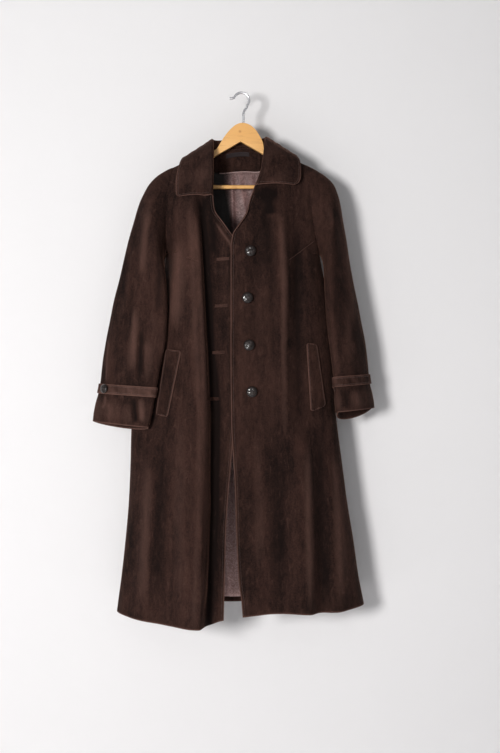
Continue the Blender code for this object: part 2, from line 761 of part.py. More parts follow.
def make_front_buttons():
    for spot in BUTTONS:
        share = across(spot.x, spot.height)
        place = front_point("right", share, spot.height)
        make_button(spot.name, place, body_normal("front", share, spot.height), BUTTON_RADIUS)


def make_cuff_button(side, rows, turn, name):
    """The button on a cuff's strap, at a turn round the sleeve."""
    rings = indexed(rows)
    place = (STRAP_RINGS[0] + STRAP_RINGS[1]) / 2
    middle_point = sleeve_point(side, rings, place, turn)
    ahead = sleeve_point(side, rings, place, turn + CUFF_STEP_ROUND)
    below = sleeve_point(side, rings, place + CUFF_STEP_DOWN, turn)
    normal = unit(np.cross(ahead - middle_point, below - middle_point))
    centre = np.array([(rings["o" + k](place) + rings["i" + k](place)) / 2 for k in "xyz"])
    if np.dot(normal, middle_point - centre) < 0:
        normal = -normal
    middle_point[0] += ARMHOLE_GAP * (-1 if side == "left" else 1)
    out = CUFF_STRAP_OUT + STRAP_CLOTH
    make_button(name, middle_point + normal * out, normal, CUFF_BUTTON_RADIUS)


# The hanger

def shoulder_inside(x):
    """The height just below the cloth of a shoulder seam."""
    slope = math.atan(abs(slope_of(x + 1) - slope_of(x - 1)) / 2)
    return SHOULDER + slope_of(x) - CLOTH / math.cos(slope) - HANGER_REST


def hanger_outline():
    """The hanger's outline from the front: domed neck, sloping arms and the lobes of the bar."""
    left = [(x, shoulder_inside(x)) for x in np.linspace(HANGER_LEFT, DOME_LEFT, ARM_POINTS)]
    right = [(x, shoulder_inside(x)) for x in np.linspace(DOME_RIGHT, HANGER_RIGHT, ARM_POINTS)]
    dome = [(spot.x, spot.height) for spot in DOME]
    low = BAR_HEIGHT - BAR_RADIUS - LOBE_MARGIN
    under_left = [(HANGER_LEFT + LOBE_INSET, low), (HANGER_LEFT + LOBE_WIDTH, low)]
    under_right = [(HANGER_RIGHT - LOBE_WIDTH, low), (HANGER_RIGHT - LOBE_INSET, low)]
    under = [(HANGER_LEFT + LOBE_WIDTH, ARM_UNDER_LEFT), (UNDER_TOP.x, UNDER_TOP.height),
             (HANGER_RIGHT - LOBE_WIDTH, ARM_UNDER_RIGHT)]
    top = left + dome + right
    bottom = under_left + under + under_right
    return top + bottom[::-1]


def poly_curve(name, points, cyclic, dimensions="3D"):
    """A curve object of straight spans through points in millimetres."""
    curve = bpy.data.curves.new(name, "CURVE")
    curve.dimensions = dimensions
    spline = curve.splines.new("POLY")
    spline.points.add(len(points) - 1)
    for target, point in zip(spline.points, points):
        target.co = (*(Vector(point) * MM), 1.0)
    spline.use_cyclic_u = cyclic
    thing = bpy.data.objects.new(name, curve)
    coat.objects.link(thing)
    return thing


def make_hanger_body():
    """The flat wooden hanger, upright in the plane of the shoulders."""
    outline = [(x, z, 0.0) for x, z in hanger_outline()]
    thing = poly_curve("hanger_body", outline, True, "2D")
    thing.data.fill_mode = "BOTH"
    thing.data.extrude = HANGER_THICK / 2 * MM
    thing.data.materials.append(material("hanger_body", WOOD))
    thing.rotation_euler = (math.pi / 2, 0.0, 0.0)
    weld = thing.modifiers.new("Weld", "WELD")
    weld.merge_threshold = 0.00001
    rounded = thing.modifiers.new("Bevel", "BEVEL")
    rounded.width = HANGER_ROUND * MM
    rounded.segments = 3
    rounded.limit_method = "ANGLE"
    rounded.angle_limit = math.radians(60)


def make_hanger_bar():
    """The round bar between the hanger's lobes."""
    start = HANGER_LEFT + LOBE_WIDTH + SEAM
    end = HANGER_RIGHT - LOBE_WIDTH - SEAM
    mesh = bmesh.new()
    bmesh.ops.create_cone(mesh, cap_ends=True, segments=16, radius1=BAR_RADIUS * MM,
                          radius2=BAR_RADIUS * MM, depth=(end - start) * MM)
    thing = finish("hanger_bar", mesh, WOOD)
    thing.data.set_sharp_from_angle(angle=math.radians(40))
    thing.location = ((start + end) / 2 * MM, 0.0, BAR_HEIGHT * MM)
    thing.rotation_euler = (0.0, math.pi / 2, 0.0)


def hook_route():
    """The wire's centre: up the stem, aside, then round the hook to its flipped tip."""
    low = DOME_PEAK + HOOK_STEM_GAP
    centre_z = HOOK_WIRE - HOOK_RADIUS
    points = [(STEM_X + spot.x, 0, low + spot.height) for spot in HOOK_STEM]
    for degrees in np.linspace(HOOK_ARC[0], HOOK_ARC[1], HOOK_ARC_POINTS):
        turn = math.radians(degrees)
        points.append((HOOK_CENTRE_X + HOOK_RADIUS * math.cos(turn), 0,
                       centre_z + HOOK_RADIUS * math.sin(turn)))
    last = points[-1]
    points += [(last[0] + spot.x, 0, last[2] + spot.height) for spot in HOOK_TIP]
    return points


def make_hook():
    thing = poly_curve("hanger_hook", hook_route(), False)
    thing.data.bevel_depth = HOOK_WIRE * MM
    thing.data.bevel_resolution = 2
    thing.data.use_fill_caps = True
    thing.data.materials.append(material("hanger_hook", CHROME))


coat = bpy.data.collections.new("coat")


def main():
    for thing in list(bpy.data.objects):
        bpy.data.objects.remove(thing, do_unlink=True)
    bpy.context.scene.collection.children.link(coat)
    make_fronts()
    make_back()
    make_neck_facing()
    make_label()
    for side, rows in (("left", SLEEVE_VIEWER_LEFT), ("right", SLEEVE_VIEWER_RIGHT)):
        make_sleeve(side, rows, "sleeve_viewer_" + side)
        make_cuff_strap(side, rows, "cuff_strap_viewer_" + side)
        make_cuff_button(side, rows, CUFF_BUTTON_TURN[side], "cuff_button_viewer_" + side)
    make_collar()
    make_welt("pocket_welt_viewer_left", WELT_VIEWER_LEFT)
    make_welt("pocket_welt_viewer_right", WELT_VIEWER_RIGHT)
    make_front_buttons()
    make_hanger_body()
    make_hanger_bar()
    make_hook()


main()
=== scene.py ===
import math
import bpy
import numpy as np
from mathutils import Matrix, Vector


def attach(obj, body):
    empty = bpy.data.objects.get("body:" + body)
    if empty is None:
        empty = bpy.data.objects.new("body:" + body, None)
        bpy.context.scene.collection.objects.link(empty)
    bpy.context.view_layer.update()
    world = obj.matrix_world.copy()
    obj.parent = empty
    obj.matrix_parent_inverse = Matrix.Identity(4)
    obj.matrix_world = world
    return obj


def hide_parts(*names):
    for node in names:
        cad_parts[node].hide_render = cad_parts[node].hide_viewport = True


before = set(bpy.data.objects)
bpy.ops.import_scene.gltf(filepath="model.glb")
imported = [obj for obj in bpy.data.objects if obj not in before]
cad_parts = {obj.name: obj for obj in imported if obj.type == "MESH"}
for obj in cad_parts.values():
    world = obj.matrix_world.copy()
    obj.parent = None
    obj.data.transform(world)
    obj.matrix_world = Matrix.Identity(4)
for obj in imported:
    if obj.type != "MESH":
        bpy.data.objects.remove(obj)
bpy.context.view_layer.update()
mm = 0.001

# Lengths and tables are in millimetres from the inside top of the hook.


# Reading tables

class Run:
    # a value that runs smoothly through the rows of a table without overshooting them
    def __init__(self, places, values):
        order = np.argsort(places)
        self.places = np.asarray(places, float)[order]
        self.values = np.asarray(values, float)[order]
        steps = np.diff(self.values) / np.diff(self.places)
        both = steps[:-1] * steps[1:]
        total = steps[:-1] + steps[1:]
        inner = np.where(both > 0, 2 * both / np.where(total == 0, 1, total), 0)
        self.slopes = np.concatenate([steps[:1], inner, steps[-1:]])

    def __call__(self, place):
        p = np.clip(place, self.places[0], self.places[-1])
        i = np.clip(np.searchsorted(self.places, p, side="right") - 1, 0, len(self.places) - 2)
        width = self.places[i + 1] - self.places[i]
        f = (p - self.places[i]) / width
        start = (1 + 2 * f) * (1 - f) ** 2 * self.values[i]
        end = f * f * (3 - 2 * f) * self.values[i + 1]
        return start + end + f * (1 - f) * width * (
            (1 - f) * self.slopes[i] - f * self.slopes[i + 1])


def runsOf(columns, rows, key=0):
    # one Run for each named column, over the key column or over the rows' numbers
    places = range(len(rows)) if key is None else [row[key] for row in rows]
    return {name: Run(places, [row[i] for row in rows]) for i, name in enumerate(columns.split())}


def ease(value, start, end):
    f = np.clip((value - start) / (end - start), 0, 1)
    return f * f * (3 - 2 * f)


def unit(v):
    return v / np.maximum(np.linalg.norm(v, axis=-1, keepdims=True), 1e-9)


def runAlong(grid, axis):
    # the length of cloth from the first row or column to each point
    steps = np.diff(grid, axis=axis, prepend=np.take(grid, [0], axis=axis))
    return np.cumsum(np.linalg.norm(steps, axis=-1), axis=axis)


def smoothBetween(a, b, c, d, f):
    # a place between b and c on the smooth line through four points
    return 0.5 * (2 * b + (c - a) * f + (2 * a - 5 * b + 4 * c - d) * f ** 2
                  + (3 * b - a - 3 * c + d) * f ** 3)


def stacked(*parts):
    return np.stack(np.broadcast_arrays(*parts), axis=-1).astype(float)


# The coat's form

coatForm = {
    "shoulder": -165, "underarm": -368, "hem": -1188,
    "armholeDepth": 31, "rimEase": 0.997, "armholeBlend": 1.6,
    "frontPower": 2.2, "backPower": 2.8, "seamRound": 10,
    "slopeFades": 300, "hemStarts": 900, "foldFade": 90, "rimFade": 6,
    "cloth": 2.0, "rows": 250, "frontColumns": 92, "backColumns": 150, "spreadAt": -900,
}
# height, side seams' left and right x, seam's y, reach of front and back, squareness
sections = (
    (-165, -157, 147, 0, 0, 0, 1), (-175, -159, 149, 0, 20, 21, 1),
    (-190, -162, 151, 0, 33, 34, 1), (-215, -166, 154, 0, 45, 43, 1.05),
    (-244, -169, 157, 0, 53, 47, 1.1), (-317, -170, 168, 0, 63, 50, 1.3),
    (-345, -170, 174, 0, 64, 51, 1.6), (-368, -172, 180, 0, 66, 52, 1.8),
    (-474, -193, 198, -4, 70, 54, 2), (-589, -216, 209, -7, 76, 55, 2),
    (-704, -240, 215, -8, 82, 57, 2), (-766, -251, 221, -8, 85, 58, 2),
    (-842, -253, 231, -8, 88, 59, 2), (-934, -257, 243, -8, 92, 61, 2),
    (-1026, -265, 257, -8, 95, 63, 2.1), (-1118, -275, 269, -8, 98, 65, 2.1),
    (-1188, -284, 282, -8, 100, 66, 2.1),
)
shoulderSlope = ((-157, -5), (-64, 38), (0, 58), (56, 43), (147, 2))
frontHem = ((-284, 2), (-240, -6), (-115, -16), (-70, -14.5), (-42, -4), (8, 6), (100, 13),
            (200, 10), (282, 18))
backHem = ((-284, 2), (0, 8), (282, 18))
backNeck = ((-65, 0), (-57, 5), (-36, 10), (-5, 12), (28, 10), (49, 5), (57, 0))
# top, bottom, x at top, middle and bottom, how far out at top and bottom, left and right flank
frontFolds = (
    (-205, -1300, -110, -84, -90, 12, 42, 62, 11), (-205, -1300, -86, -58, -63, -9, -13, 11, 22),
    (-240, -640, -140, -142, -150, 7, 5, 24, 22), (-760, -1300, -205, -212, -224, 2, 8, 26, 34),
    (-225, -820, 88, 94, 100, 11, 9, 38, 24), (-280, -780, 126, 130, 134, -5, -4, 20, 18),
    (-700, -1300, 138, 147, 153, 6, 20, 52, 17), (-760, -1300, 172, 176, 180, -5, -8, 14, 18),
    (-840, -1300, 208, 216, 224, 3, 9, 16, 20),
)
backFolds = (
    (-420, -1300, -130, -160, -185, 3, 9, 40, 30), (-300, -1300, -50, -62, -70, 3, 8, 34, 42),
    (-330, -1300, 46, 55, 66, 3, 9, 40, 30), (-440, -1300, 128, 150, 172, 3, 8, 30, 38),
)
# height, x and curl in degrees of each front edge
buttonholeEdge = (
    (-165, -65, 0), (-235, -66, 0), (-252, -66, 10), (-273, -64, 45), (-305, -42, 45),
    (-344, -15, 20), (-362, -2, 0), (-400, 3, 0), (-600, 0, 0), (-700, -8, 0), (-761, -18, 0),
    (-834, -24, 0), (-903, -30, 0), (-997, -36, 0), (-1113, -39, 0), (-1188, -41, 0),
)
buttonEdge = (
    (-165, 57, 0), (-202, 52, 0), (-228, 42, 0), (-244, 33, 25), (-262, 26, 95), (-285, 17, 150),
    (-312, -1, 150), (-337, -15, 60), (-362, -19, 0), (-600, -19, 0), (-761, -17, 0),
    (-880, -10, 0), (-997, -6, 0), (-1113, 0, 0), (-1150, 5, 0), (-1188, 8, 0),
)
overlap = {"lift": 3.8, "reach": 60, "starts": (255, 325)}
curled = {"radius": 4.0, "opens": 60, "step": 1.2, "points": 3}

body = runsOf("height left right side front back corner", sections)
slopeOf = Run(*zip(*shoulderSlope))
hemOf = {"front": Run(*zip(*frontHem)), "back": Run(*zip(*backHem))}
neckOf = Run(*zip(*backNeck))
foldsOf = {"front": frontFolds, "back": backFolds}
edgeOf = {side: runsOf("height x curl", rows)
          for side, rows in (("left", buttonholeEdge), ("right", buttonEdge))}


def middle(height):
    return (body["left"](height) + body["right"](height)) / 2


def halfWidth(height):
    return (body["right"](height) - body["left"](height)) / 2


def across(x, height):
    return np.clip((x - middle(height)) / halfWidth(height), -1, 1)


def rimShare(height):
    mid = (coatForm["shoulder"] + coatForm["underarm"]) / 2
    return np.clip((height - mid) / (coatForm["shoulder"] - mid), -1, 1)


def foldOut(fold, x, height):
    top, bottom, xTop, xMid, xLow, outTop, outLow, left, right = fold
    along = (top - height) / (top - max(bottom, coatForm["hem"]))
    off = x - Run((0, 0.5, 1), (xTop, xMid, xLow))(along)
    out = outTop + (outLow - outTop) * np.minimum(along, 1)
    fade = coatForm["foldFade"]
    ends = ease(top - height, 0, fade) * ease(height - bottom, 0, fade)
    return out * ends * np.exp(-(off / np.where(off < 0, left, right)) ** 2)


def bodyPoint(face, share, height):
    share, height = np.broadcast_arrays(np.asarray(share, float), np.asarray(height, float))
    x = middle(height) + halfWidth(height) * share
    out = 1 if face == "back" else -1
    bulge = np.maximum(1 - np.abs(share) ** coatForm[face + "Power"], 0)
    bulge = bulge ** (1 / body["corner"](height))
    inside = np.where(rimShare(height) < 0, 1 - np.abs(share) ** coatForm["rimFade"], 0)
    rim = coatForm["armholeDepth"] * np.maximum(1 - rimShare(height) ** 2, 0) ** (0.5 + inside)
    seam = body["side"](height) + out * rim
    y = seam + (out * body[face](height) - seam) * bulge
    loose = 1 - np.abs(share) ** coatForm["seamRound"]
    y = y + out * loose * sum(foldOut(fold, x, height) for fold in foldsOf[face])
    z = height + slopeOf(x) * (1 - ease(-height, -coatForm["shoulder"], coatForm["slopeFades"]))
    z = z + hemOf[face](x) * ease(-height, coatForm["hemStarts"], -coatForm["hem"])
    return stacked(x, y, z)


def bodyNormal(face, share, height):
    step = 0.004
    a = bodyPoint(face, np.minimum(share + step, 1), height) - bodyPoint(
        face, np.maximum(share - step, -1), height)
    b = bodyPoint(face, share, height - 1) - bodyPoint(
        face, share, np.minimum(height + 1, coatForm["shoulder"]))
    out = unit(np.cross(b, a))
    flip = (out[..., 1:2] > 0) == (face == "back")
    return np.where(flip, out, -out)


def lifted(x, height):
    near = 1 - ease(x - edgeOf["right"]["x"](height), overlap["reach"] / 2, overlap["reach"])
    return overlap["lift"] * near * ease(-height, *overlap["starts"])


def frontPoint(side, share, height):
    point = bodyPoint("front", share, height)
    if side == "right":
        point[..., 1] -= lifted(point[..., 0], height)
    return point


def turnOf(share):
    return np.arcsin(np.clip(share, -1, 1)) * 2 / math.pi


def evenTurns(face, start, end, height, count):
    # turns from start to end with an even length of cloth between them
    fine = np.linspace(start, end, 400)
    lengths = runAlong(bodyPoint(face, np.sin(fine * math.pi / 2), height), 0)
    turns = np.interp(np.linspace(0, lengths[-1], count), lengths, fine)
    return (turns - start) / (end - start)


def withRims(values, span):
    # adds a few places close to each end, for a rounded edge; span is the whole length there
    near = np.array((0.12, 0.45, 1.0)) / span * abs(values[-1] - values[0])
    way = 1 if values[-1] > values[0] else -1
    clear = near[-1] * 1.5
    keep = [v for v in values[1:-1] if min(abs(v - values[0]), abs(v - values[-1])) > clear]
    head = [values[0] + way * d for d in near]
    tail = [values[-1] - way * d for d in near[::-1]]
    return np.array([values[0], *head, *keep, *tail, values[-1]])


def normalsOf(grid, wrap=False):
    down = np.gradient(grid, axis=0)
    if wrap:
        side = np.roll(grid, -1, axis=1) - np.roll(grid, 1, axis=1)
    else:
        side = np.gradient(grid, axis=1)
    return unit(np.cross(down, side))


def turnedTo(normals, face):
    # a panel's normals, all turned towards the front or the back
    out = normals[len(normals) // 2, normals.shape[1] // 2, 1]
    return normals if (out > 0) == (face == "back") else -normals


def bodyHeights():
    top, low, hem = coatForm["shoulder"], coatForm["underarm"], coatForm["hem"]
    mid = (top + low) / 2
    count = coatForm["rows"] // 4
    upper = mid + (top - mid) * np.cos(np.linspace(0, math.pi, count + 1)[:-1])
    lower = np.linspace(low, hem, coatForm["rows"] - count)
    return withRims(np.concatenate([upper, lower]), abs(hem - top))


# Creases, folds and unevenness laid over the form

def lineDistance(x, z, line):
    # distance from a line of points, and how far along it, from 0 to 1
    points = np.array(line, float)
    lengths = np.linalg.norm(np.diff(points, axis=0), axis=1)
    total = lengths.sum()
    best = np.full(x.shape, 1e9)
    along = np.zeros(x.shape)
    passed = 0.0
    for a, b, length in zip(points, points[1:], lengths):
        t = np.clip(((x - a[0]) * (b[0] - a[0]) + (z - a[1]) * (b[1] - a[1])) / length ** 2, 0, 1)
        away = np.hypot(x - a[0] - t * (b[0] - a[0]), z - a[1] - t * (b[1] - a[1]))
        closer = away < best
        best = np.where(closer, away, best)
        along = np.where(closer, (passed + t * length) / total, along)
        passed += length
    return best, along


def creased(x, z, creases):
    # each crease is (depth, width, fade, line): out where depth is above nothing
    out = np.zeros(x.shape)
    for depth, width, fade, line in creases:
        away, along = lineDistance(x, z, line)
        ends = ease(along, 0, fade) * ease(1 - along, 0, fade)
        out += depth * ends * np.exp(-(away / width) ** 2)
    return out


def rumpled(x, z, seed, sizes, strength):
    # gentle unevenness from a few waves; sizes are the lengths of the waves across and down
    random = np.random.default_rng(seed)
    out = np.zeros(x.shape)
    for _ in range(9):
        kx, kz = random.normal(0, 1, 2)
        phase = random.uniform(0, 2 * math.pi)
        out += np.sin(2 * math.pi * (x * kx / sizes[0] + z * kz / sizes[1]) + phase)
    return out * strength / 3


# Making meshes

def newPiece(name, points, faces):
    mesh = bpy.data.meshes.new(name)
    mesh.from_pydata([tuple(p) for p in np.asarray(points) * mm], [], faces)
    mesh.shade_smooth()
    piece = bpy.data.objects.new(name, mesh)
    bpy.context.scene.collection.objects.link(piece)
    return piece


def addShade(piece, values):
    # the painted light and shade that the materials read, for each point or one for all
    shade = piece.data.attributes.new("shade", "FLOAT", "POINT")
    each = np.broadcast_to(np.ravel(values).astype(float), len(piece.data.vertices))
    shade.data.foreach_set("value", np.ascontiguousarray(each))


def rimDistance(grid, wrap, edges="tblr"):
    # each point's distance from the nearest top, bottom, left or right edge of the cloth
    def fromEnds(axis, first, last):
        run = runAlong(grid, axis)
        rest = np.take(run, [-1], axis=axis) - run
        far = np.full(run.shape, 1000.0)
        return np.minimum(run if first in edges else far, rest if last in edges else far)
    down = fromEnds(0, "t", "b")
    return down if wrap else np.minimum(down, fromEnds(1, "l", "r"))


def gridFaces(rows, columns, start, wrap, flip):
    faces = []
    for i in range(rows - 1):
        for j in range(columns if wrap else columns - 1):
            k = (j + 1) % columns
            face = (i * columns + j, (i + 1) * columns + j, (i + 1) * columns + k, i * columns + k)
            faces.append([start + v for v in (face[::-1] if flip else face)])
    return faces


# strength and reach of the painted highlight along the free edges of cloth
rimLight = {"strength": 0.9, "reach": 1.8}


def clothPiece(name, grid, normals, thick, free="tblr", wrap=False, shade=None):
    # a closed thin piece of cloth round a grid of points, with rounded edges and a painted highlight
    # along the free ones
    rows, columns = grid.shape[:2]
    away = rimDistance(grid, wrap)
    reach = 1 - np.clip(away / (thick * 0.55), 0, 1)
    half = np.maximum(thick / 2 * np.sqrt(np.maximum(1 - reach ** 2, 0)), 0.03)[..., None]
    outer = grid + normals * half
    inner = grid - normals * half
    points = np.concatenate([outer.reshape(-1, 3), inner.reshape(-1, 3)])
    i, j = rows // 2, columns // 2
    turned = np.cross(grid[i + 1, j] - grid[i, j], grid[i, j + 1] - grid[i, j])
    flip = np.dot(turned, normals[i, j]) < 0
    size = rows * columns
    faces = gridFaces(rows, columns, 0, wrap, flip) + gridFaces(rows, columns, size, wrap, not flip)
    loops = [[(0, j) for j in range(columns)], [(rows - 1, j) for j in range(columns)][::-1]]
    if wrap:
        loops = [loop + loop[:1] for loop in loops]
    else:
        ring = loops[0] + [(i, columns - 1) for i in range(1, rows)] + loops[1][1:]
        loops = [ring + [(i, 0) for i in range(rows - 2, -1, -1)]]
    for loop in loops:
        for a, b in zip(loop, loop[1:]):
            first, second = a[0] * columns + a[1], b[0] * columns + b[1]
            side = (first, second, second + size, first + size)
            faces.append(list(side[::-1] if flip else side))
    piece = newPiece(name, points, faces)
    value = np.zeros((rows, columns)) if shade is None else shade
    # a painted highlight along the free edges, added to the painted light and shade
    near = np.exp(-(rimDistance(grid, wrap, free) / rimLight["reach"]) ** 2)
    value = value + rimLight["strength"] * near
    addShade(piece, np.concatenate([value.ravel(), value.ravel()]))
    return piece


def lineFrom(grid, normals, axis, end, away, out):
    # a line on the cloth, kept a distance away from one of its edges, and the normals along it
    g = np.swapaxes(grid, 0, axis)
    n = np.swapaxes(normals, 0, axis)
    if end:
        g, n = g[::-1], n[::-1]
    run = runAlong(g, 0)
    points, ups = [], []
    for j in range(g.shape[1]):
        i = min(int(np.searchsorted(run[:, j], away)), len(g) - 1)
        f = (away - run[i - 1, j]) / max(run[i, j] - run[i - 1, j], 1e-6)
        up = unit(n[i - 1, j] * (1 - f) + n[i, j] * f)
        points.append(g[i - 1, j] * (1 - f) + g[i, j] * f + up * out)
        ups.append(up)
    return np.array(points), np.array(ups)


def evenAlong(points, ups, pitch, trim=(0, 0)):
    run = runAlong(points, 0)
    count = max(int((run[-1] - sum(trim)) / pitch), 2)
    at = np.linspace(trim[0], run[-1] - trim[1], count)
    spots = np.stack([np.interp(at, run, points[:, k]) for k in range(3)], axis=1)
    aims = unit(np.stack([np.interp(at, run, ups[:, k]) for k in range(3)], axis=1))
    return spots, aims


stitch = {
    "pitch": 3.1, "length": 2.2, "wide": 0.55, "high": 0.34, "lift": 0.1,
    "inside": 6.0, "insideCuff": 4.2, "insideWelt": 3.4, "frontTop": {"left": -228, "right": -240},
}


def stitches(name, lines):
    # small thread stitches along lines of points with their normals
    points, faces = [], []
    ring = ((1, 0), (0, 1), (-1, 0), (0, -1))
    for line, ups in lines:
        ways = unit(np.gradient(line, axis=0))
        for p, way, up in zip(line, ways, ups):
            side = np.cross(up, way)
            start = len(points)
            points.append(p - way * stitch["length"] / 2)
            for shift in (-0.3, 0.3):
                for a, b in ring:
                    points.append(p + way * stitch["length"] * shift
                                  + side * a * stitch["wide"] / 2 + up * b * stitch["high"])
            points.append(p + way * stitch["length"] / 2)
            for k in range(4):
                n = (k + 1) % 4
                faces.append([start, start + 1 + n, start + 1 + k])
                faces.append([start + 1 + k, start + 1 + n, start + 5 + n, start + 5 + k])
                faces.append([start + 5 + k, start + 5 + n, start + 9])
    return newPiece(name, points, faces)


def tube(name, points, radius, sides=10):
    # a round cord along points, closed at both ends
    points = np.asarray(points, float)
    ways = unit(np.gradient(points, axis=0))
    up = np.array((0.0, 1.0, 0.0))
    verts, faces = [], []
    for p, way in zip(points, ways):
        side = unit(np.cross(way, up))
        up = unit(np.cross(side, way))
        for k in range(sides):
            turn = 2 * math.pi * k / sides
            verts.append(p + (side * math.cos(turn) + up * math.sin(turn)) * radius)
    for i in range(len(points) - 1):
        for k in range(sides):
            n = (k + 1) % sides
            faces.append([i * sides + k, i * sides + n, (i + 1) * sides + n, (i + 1) * sides + k])
    faces.append(list(range(sides))[::-1])
    faces.append([(len(points) - 1) * sides + k for k in range(sides)])
    return newPiece(name, verts, faces)


# Materials

class Wire:
    # a socket whose sums, products and powers add Math nodes
    def __init__(self, finish, socket):
        self.finish = finish
        self.socket = socket

    def maths(self, operation, a, b=None):
        values = {0: a} if b is None else {0: a, 1: b}
        return self.finish.node("ShaderNodeMath", {"operation": operation}, values)

    def least(self, other):
        return self.maths("MINIMUM", self, other)

    def most(self, other):
        return self.maths("MAXIMUM", self, other)

    def sine(self):
        return self.maths("SINE", self)

    def fitted(self):
        return self.finish.node("ShaderNodeClamp", {}, {0: self})


for sign, operation in (("add", "ADD"), ("sub", "SUBTRACT"), ("mul", "MULTIPLY"), ("pow", "POWER")):
    setattr(Wire, "__%s__" % sign, lambda a, b, o=operation: a.maths(o, a, b))
    setattr(Wire, "__r%s__" % sign, lambda a, b, o=operation: a.maths(o, b, a))


class Finish:
    # a material made from nodes
    def __init__(self, name):
        self.material = bpy.data.materials.new(name)
        self.material.use_nodes = True
        self.tree = self.material.node_tree
        self.shader = self.tree.nodes["Principled BSDF"]

    def node(self, kind, settings=None, values=None, out=0):
        made = self.tree.nodes.new(kind)
        for key, value in (settings or {}).items():
            setattr(made, key, value)
        for key, value in (values or {}).items():
            self.feed(made.inputs[key], value)
        return Wire(self, made.outputs[out])

    def feed(self, socket, value):
        if isinstance(value, Wire):
            self.tree.links.new(value.socket, socket)
        elif isinstance(value, (tuple, list)):
            socket.default_value = (*value, 1)[:len(socket.default_value)]
        else:
            socket.default_value = value

    def blend(self, factor, a, b):
        return self.node("ShaderNodeMix", {"data_type": "RGBA"}, {0: factor, 6: a, 7: b}, 2)

    def place(self, stretch=(1, 1, 1), turn=(0, 0, 0)):
        where = self.node("ShaderNodeTexCoord", {}, {}, "Object")
        values = {"Vector": where, "Scale": stretch, "Rotation": turn}
        return self.node("ShaderNodeMapping", {}, values)

    def shade(self):
        return self.node("ShaderNodeAttribute", {"attribute_name": "shade"}, {}, "Fac")

    def noise(self, where, scale, detail=2, rough=0.5, distort=0):
        return self.node("ShaderNodeTexNoise", {}, {
            "Vector": where, "Scale": scale, "Detail": detail, "Roughness": rough,
            "Distortion": distort})

    def bump(self, height, strength, distance, normal=None):
        values = {"Strength": strength, "Distance": distance, "Height": height}
        if normal is not None:
            values["Normal"] = normal
        return self.node("ShaderNodeBump", {}, values)

    def set(self, **values):
        for key, value in values.items():
            self.feed(self.shader.inputs[key.replace("_", " ")], value)
        return self


# deep and nap are the pile's darkest and lightest colours, which painted shade and light also use;
# lit is a painted highlight colour
velvetLook = {
    "deep": (0.0062, 0.0030, 0.0024), "nap": (0.062, 0.0285, 0.0215), "lit": (0.15, 0.082, 0.066),
    "roughness": 0.9, "sheen": 0.5, "sheenRoughness": 0.24, "sheenTint": (0.72, 0.36, 0.26),
}


def velvetFinish():
    look = velvetLook
    f = Finish("brown velvet")
    still = f.place()
    down = f.place((1, 1, 0.1))
    shade = f.shade()
    streaks = f.noise(down, 26, 3, 0.6)
    strokes = f.noise(f.place((1, 1, 0.4)), 110, 4, 0.65, 0.8)
    clouds = f.noise(still, 9, 3, 0.55)
    pile = f.noise(still, 1100, 2, 0.7)
    fluff = f.noise(still, 300, 3, 0.7)
    tone = 0.34 + (streaks - 0.5) * 1.1 + (strokes - 0.5) * 0.9 + (clouds - 0.5) * 0.6
    tone = tone + (pile - 0.5) * 0.9 + (fluff - 0.5) * 0.8
    # painted light from a positive shade lifts the tone, and painted shade from a negative one
    # darkens it towards deep
    tone = (tone + shade.most(0) * 0.5).fitted() * (shade.least(0) + 1).most(0)
    color = f.blend(tone, look["deep"], look["nap"])
    # painted highlight towards lit where the shade is positive, with random light strokes of the
    # pile
    paintedHighlightAndNap = (shade.most(0) * 0.6 + (strokes - 0.6).most(0) * 0.7).fitted()
    color = f.blend(paintedHighlightAndNap, color, look["lit"])
    rough = (look["roughness"] + (fluff - 0.5) * 0.14).fitted()
    soft = f.bump(strokes, 0.2, 0.004)
    fine = f.bump(pile * 0.6 + fluff * 0.8, 0.45, 0.0007, soft)
    f.set(Base_Color=color, Roughness=rough, Normal=fine, Sheen_Weight=look["sheen"],
          Sheen_Roughness=look["sheenRoughness"], Sheen_Tint=look["sheenTint"])
    f.set(Specular_IOR_Level=0.1)
    return f.material


# the two lit colours are painted light on the lining, and shadow is a painted shadow colour
satinLook = {
    "ground": (0.108, 0.058, 0.056), "figure": (0.27, 0.158, 0.148), "roughness": 0.55,
    "sheen": 0.1,
    "shadow": (0.008, 0.0035, 0.0025), "paintedLit": (0.34, 0.20, 0.19), "paintedLitFigure": (0.62, 0.42, 0.39),
}


def satinFinish(name, look):
    f = Finish(name)
    where = f.place((1, 0.4, 1))
    wander = f.noise(where, 16, 2, 0.5)
    swirl = f.noise(where, 34, 1, 0.4, 2.4)
    rings = ((swirl * 46 + wander * 14).sine() * 0.5 + 0.5) ** 1.6
    fill = f.noise(where, 190, 2, 0.5, 1.2)
    threads = f.noise(f.place((1, 1, 0.06)), 900, 2, 0.5)
    figure = (rings * 0.75 + (fill - 0.45).most(0) * 1.2).fitted()
    shade = f.shade()
    # positive shade lifts the colour towards figure and then towards the painted light colours;
    # negative shade paints shadow
    color = f.blend((figure * 0.75 + shade.most(0) * 0.6).fitted(), look["ground"], look["figure"])
    paintedLit = f.blend(figure, look["paintedLit"], look["paintedLitFigure"])
    color = f.blend(((shade - 0.4).most(0) * 2).fitted(), color, paintedLit)
    color = f.blend((shade.least(0) * -1).fitted(), color, look["shadow"])
    rough = look["roughness"] - figure * 0.1 + (threads - 0.5) * 0.1
    f.set(Base_Color=color, Roughness=rough, Sheen_Weight=look["sheen"],
          Normal=f.bump(figure * 0.6 + threads * 0.3, 0.45, 0.0008))
    f.set(Sheen_Roughness=0.4, Sheen_Tint=(0.8, 0.65, 0.62), Specular_IOR_Level=0.3)
    return f.material


def threadFinish():
    f = Finish("brown sewing thread")
    ply = f.noise(f.place(), 1400, 2, 0.6)
    f.set(Base_Color=f.blend(ply, (0.075, 0.043, 0.036), (0.15, 0.092, 0.078)), Roughness=0.6,
          Normal=f.bump(ply, 0.3, 0.0002))
    return f.material


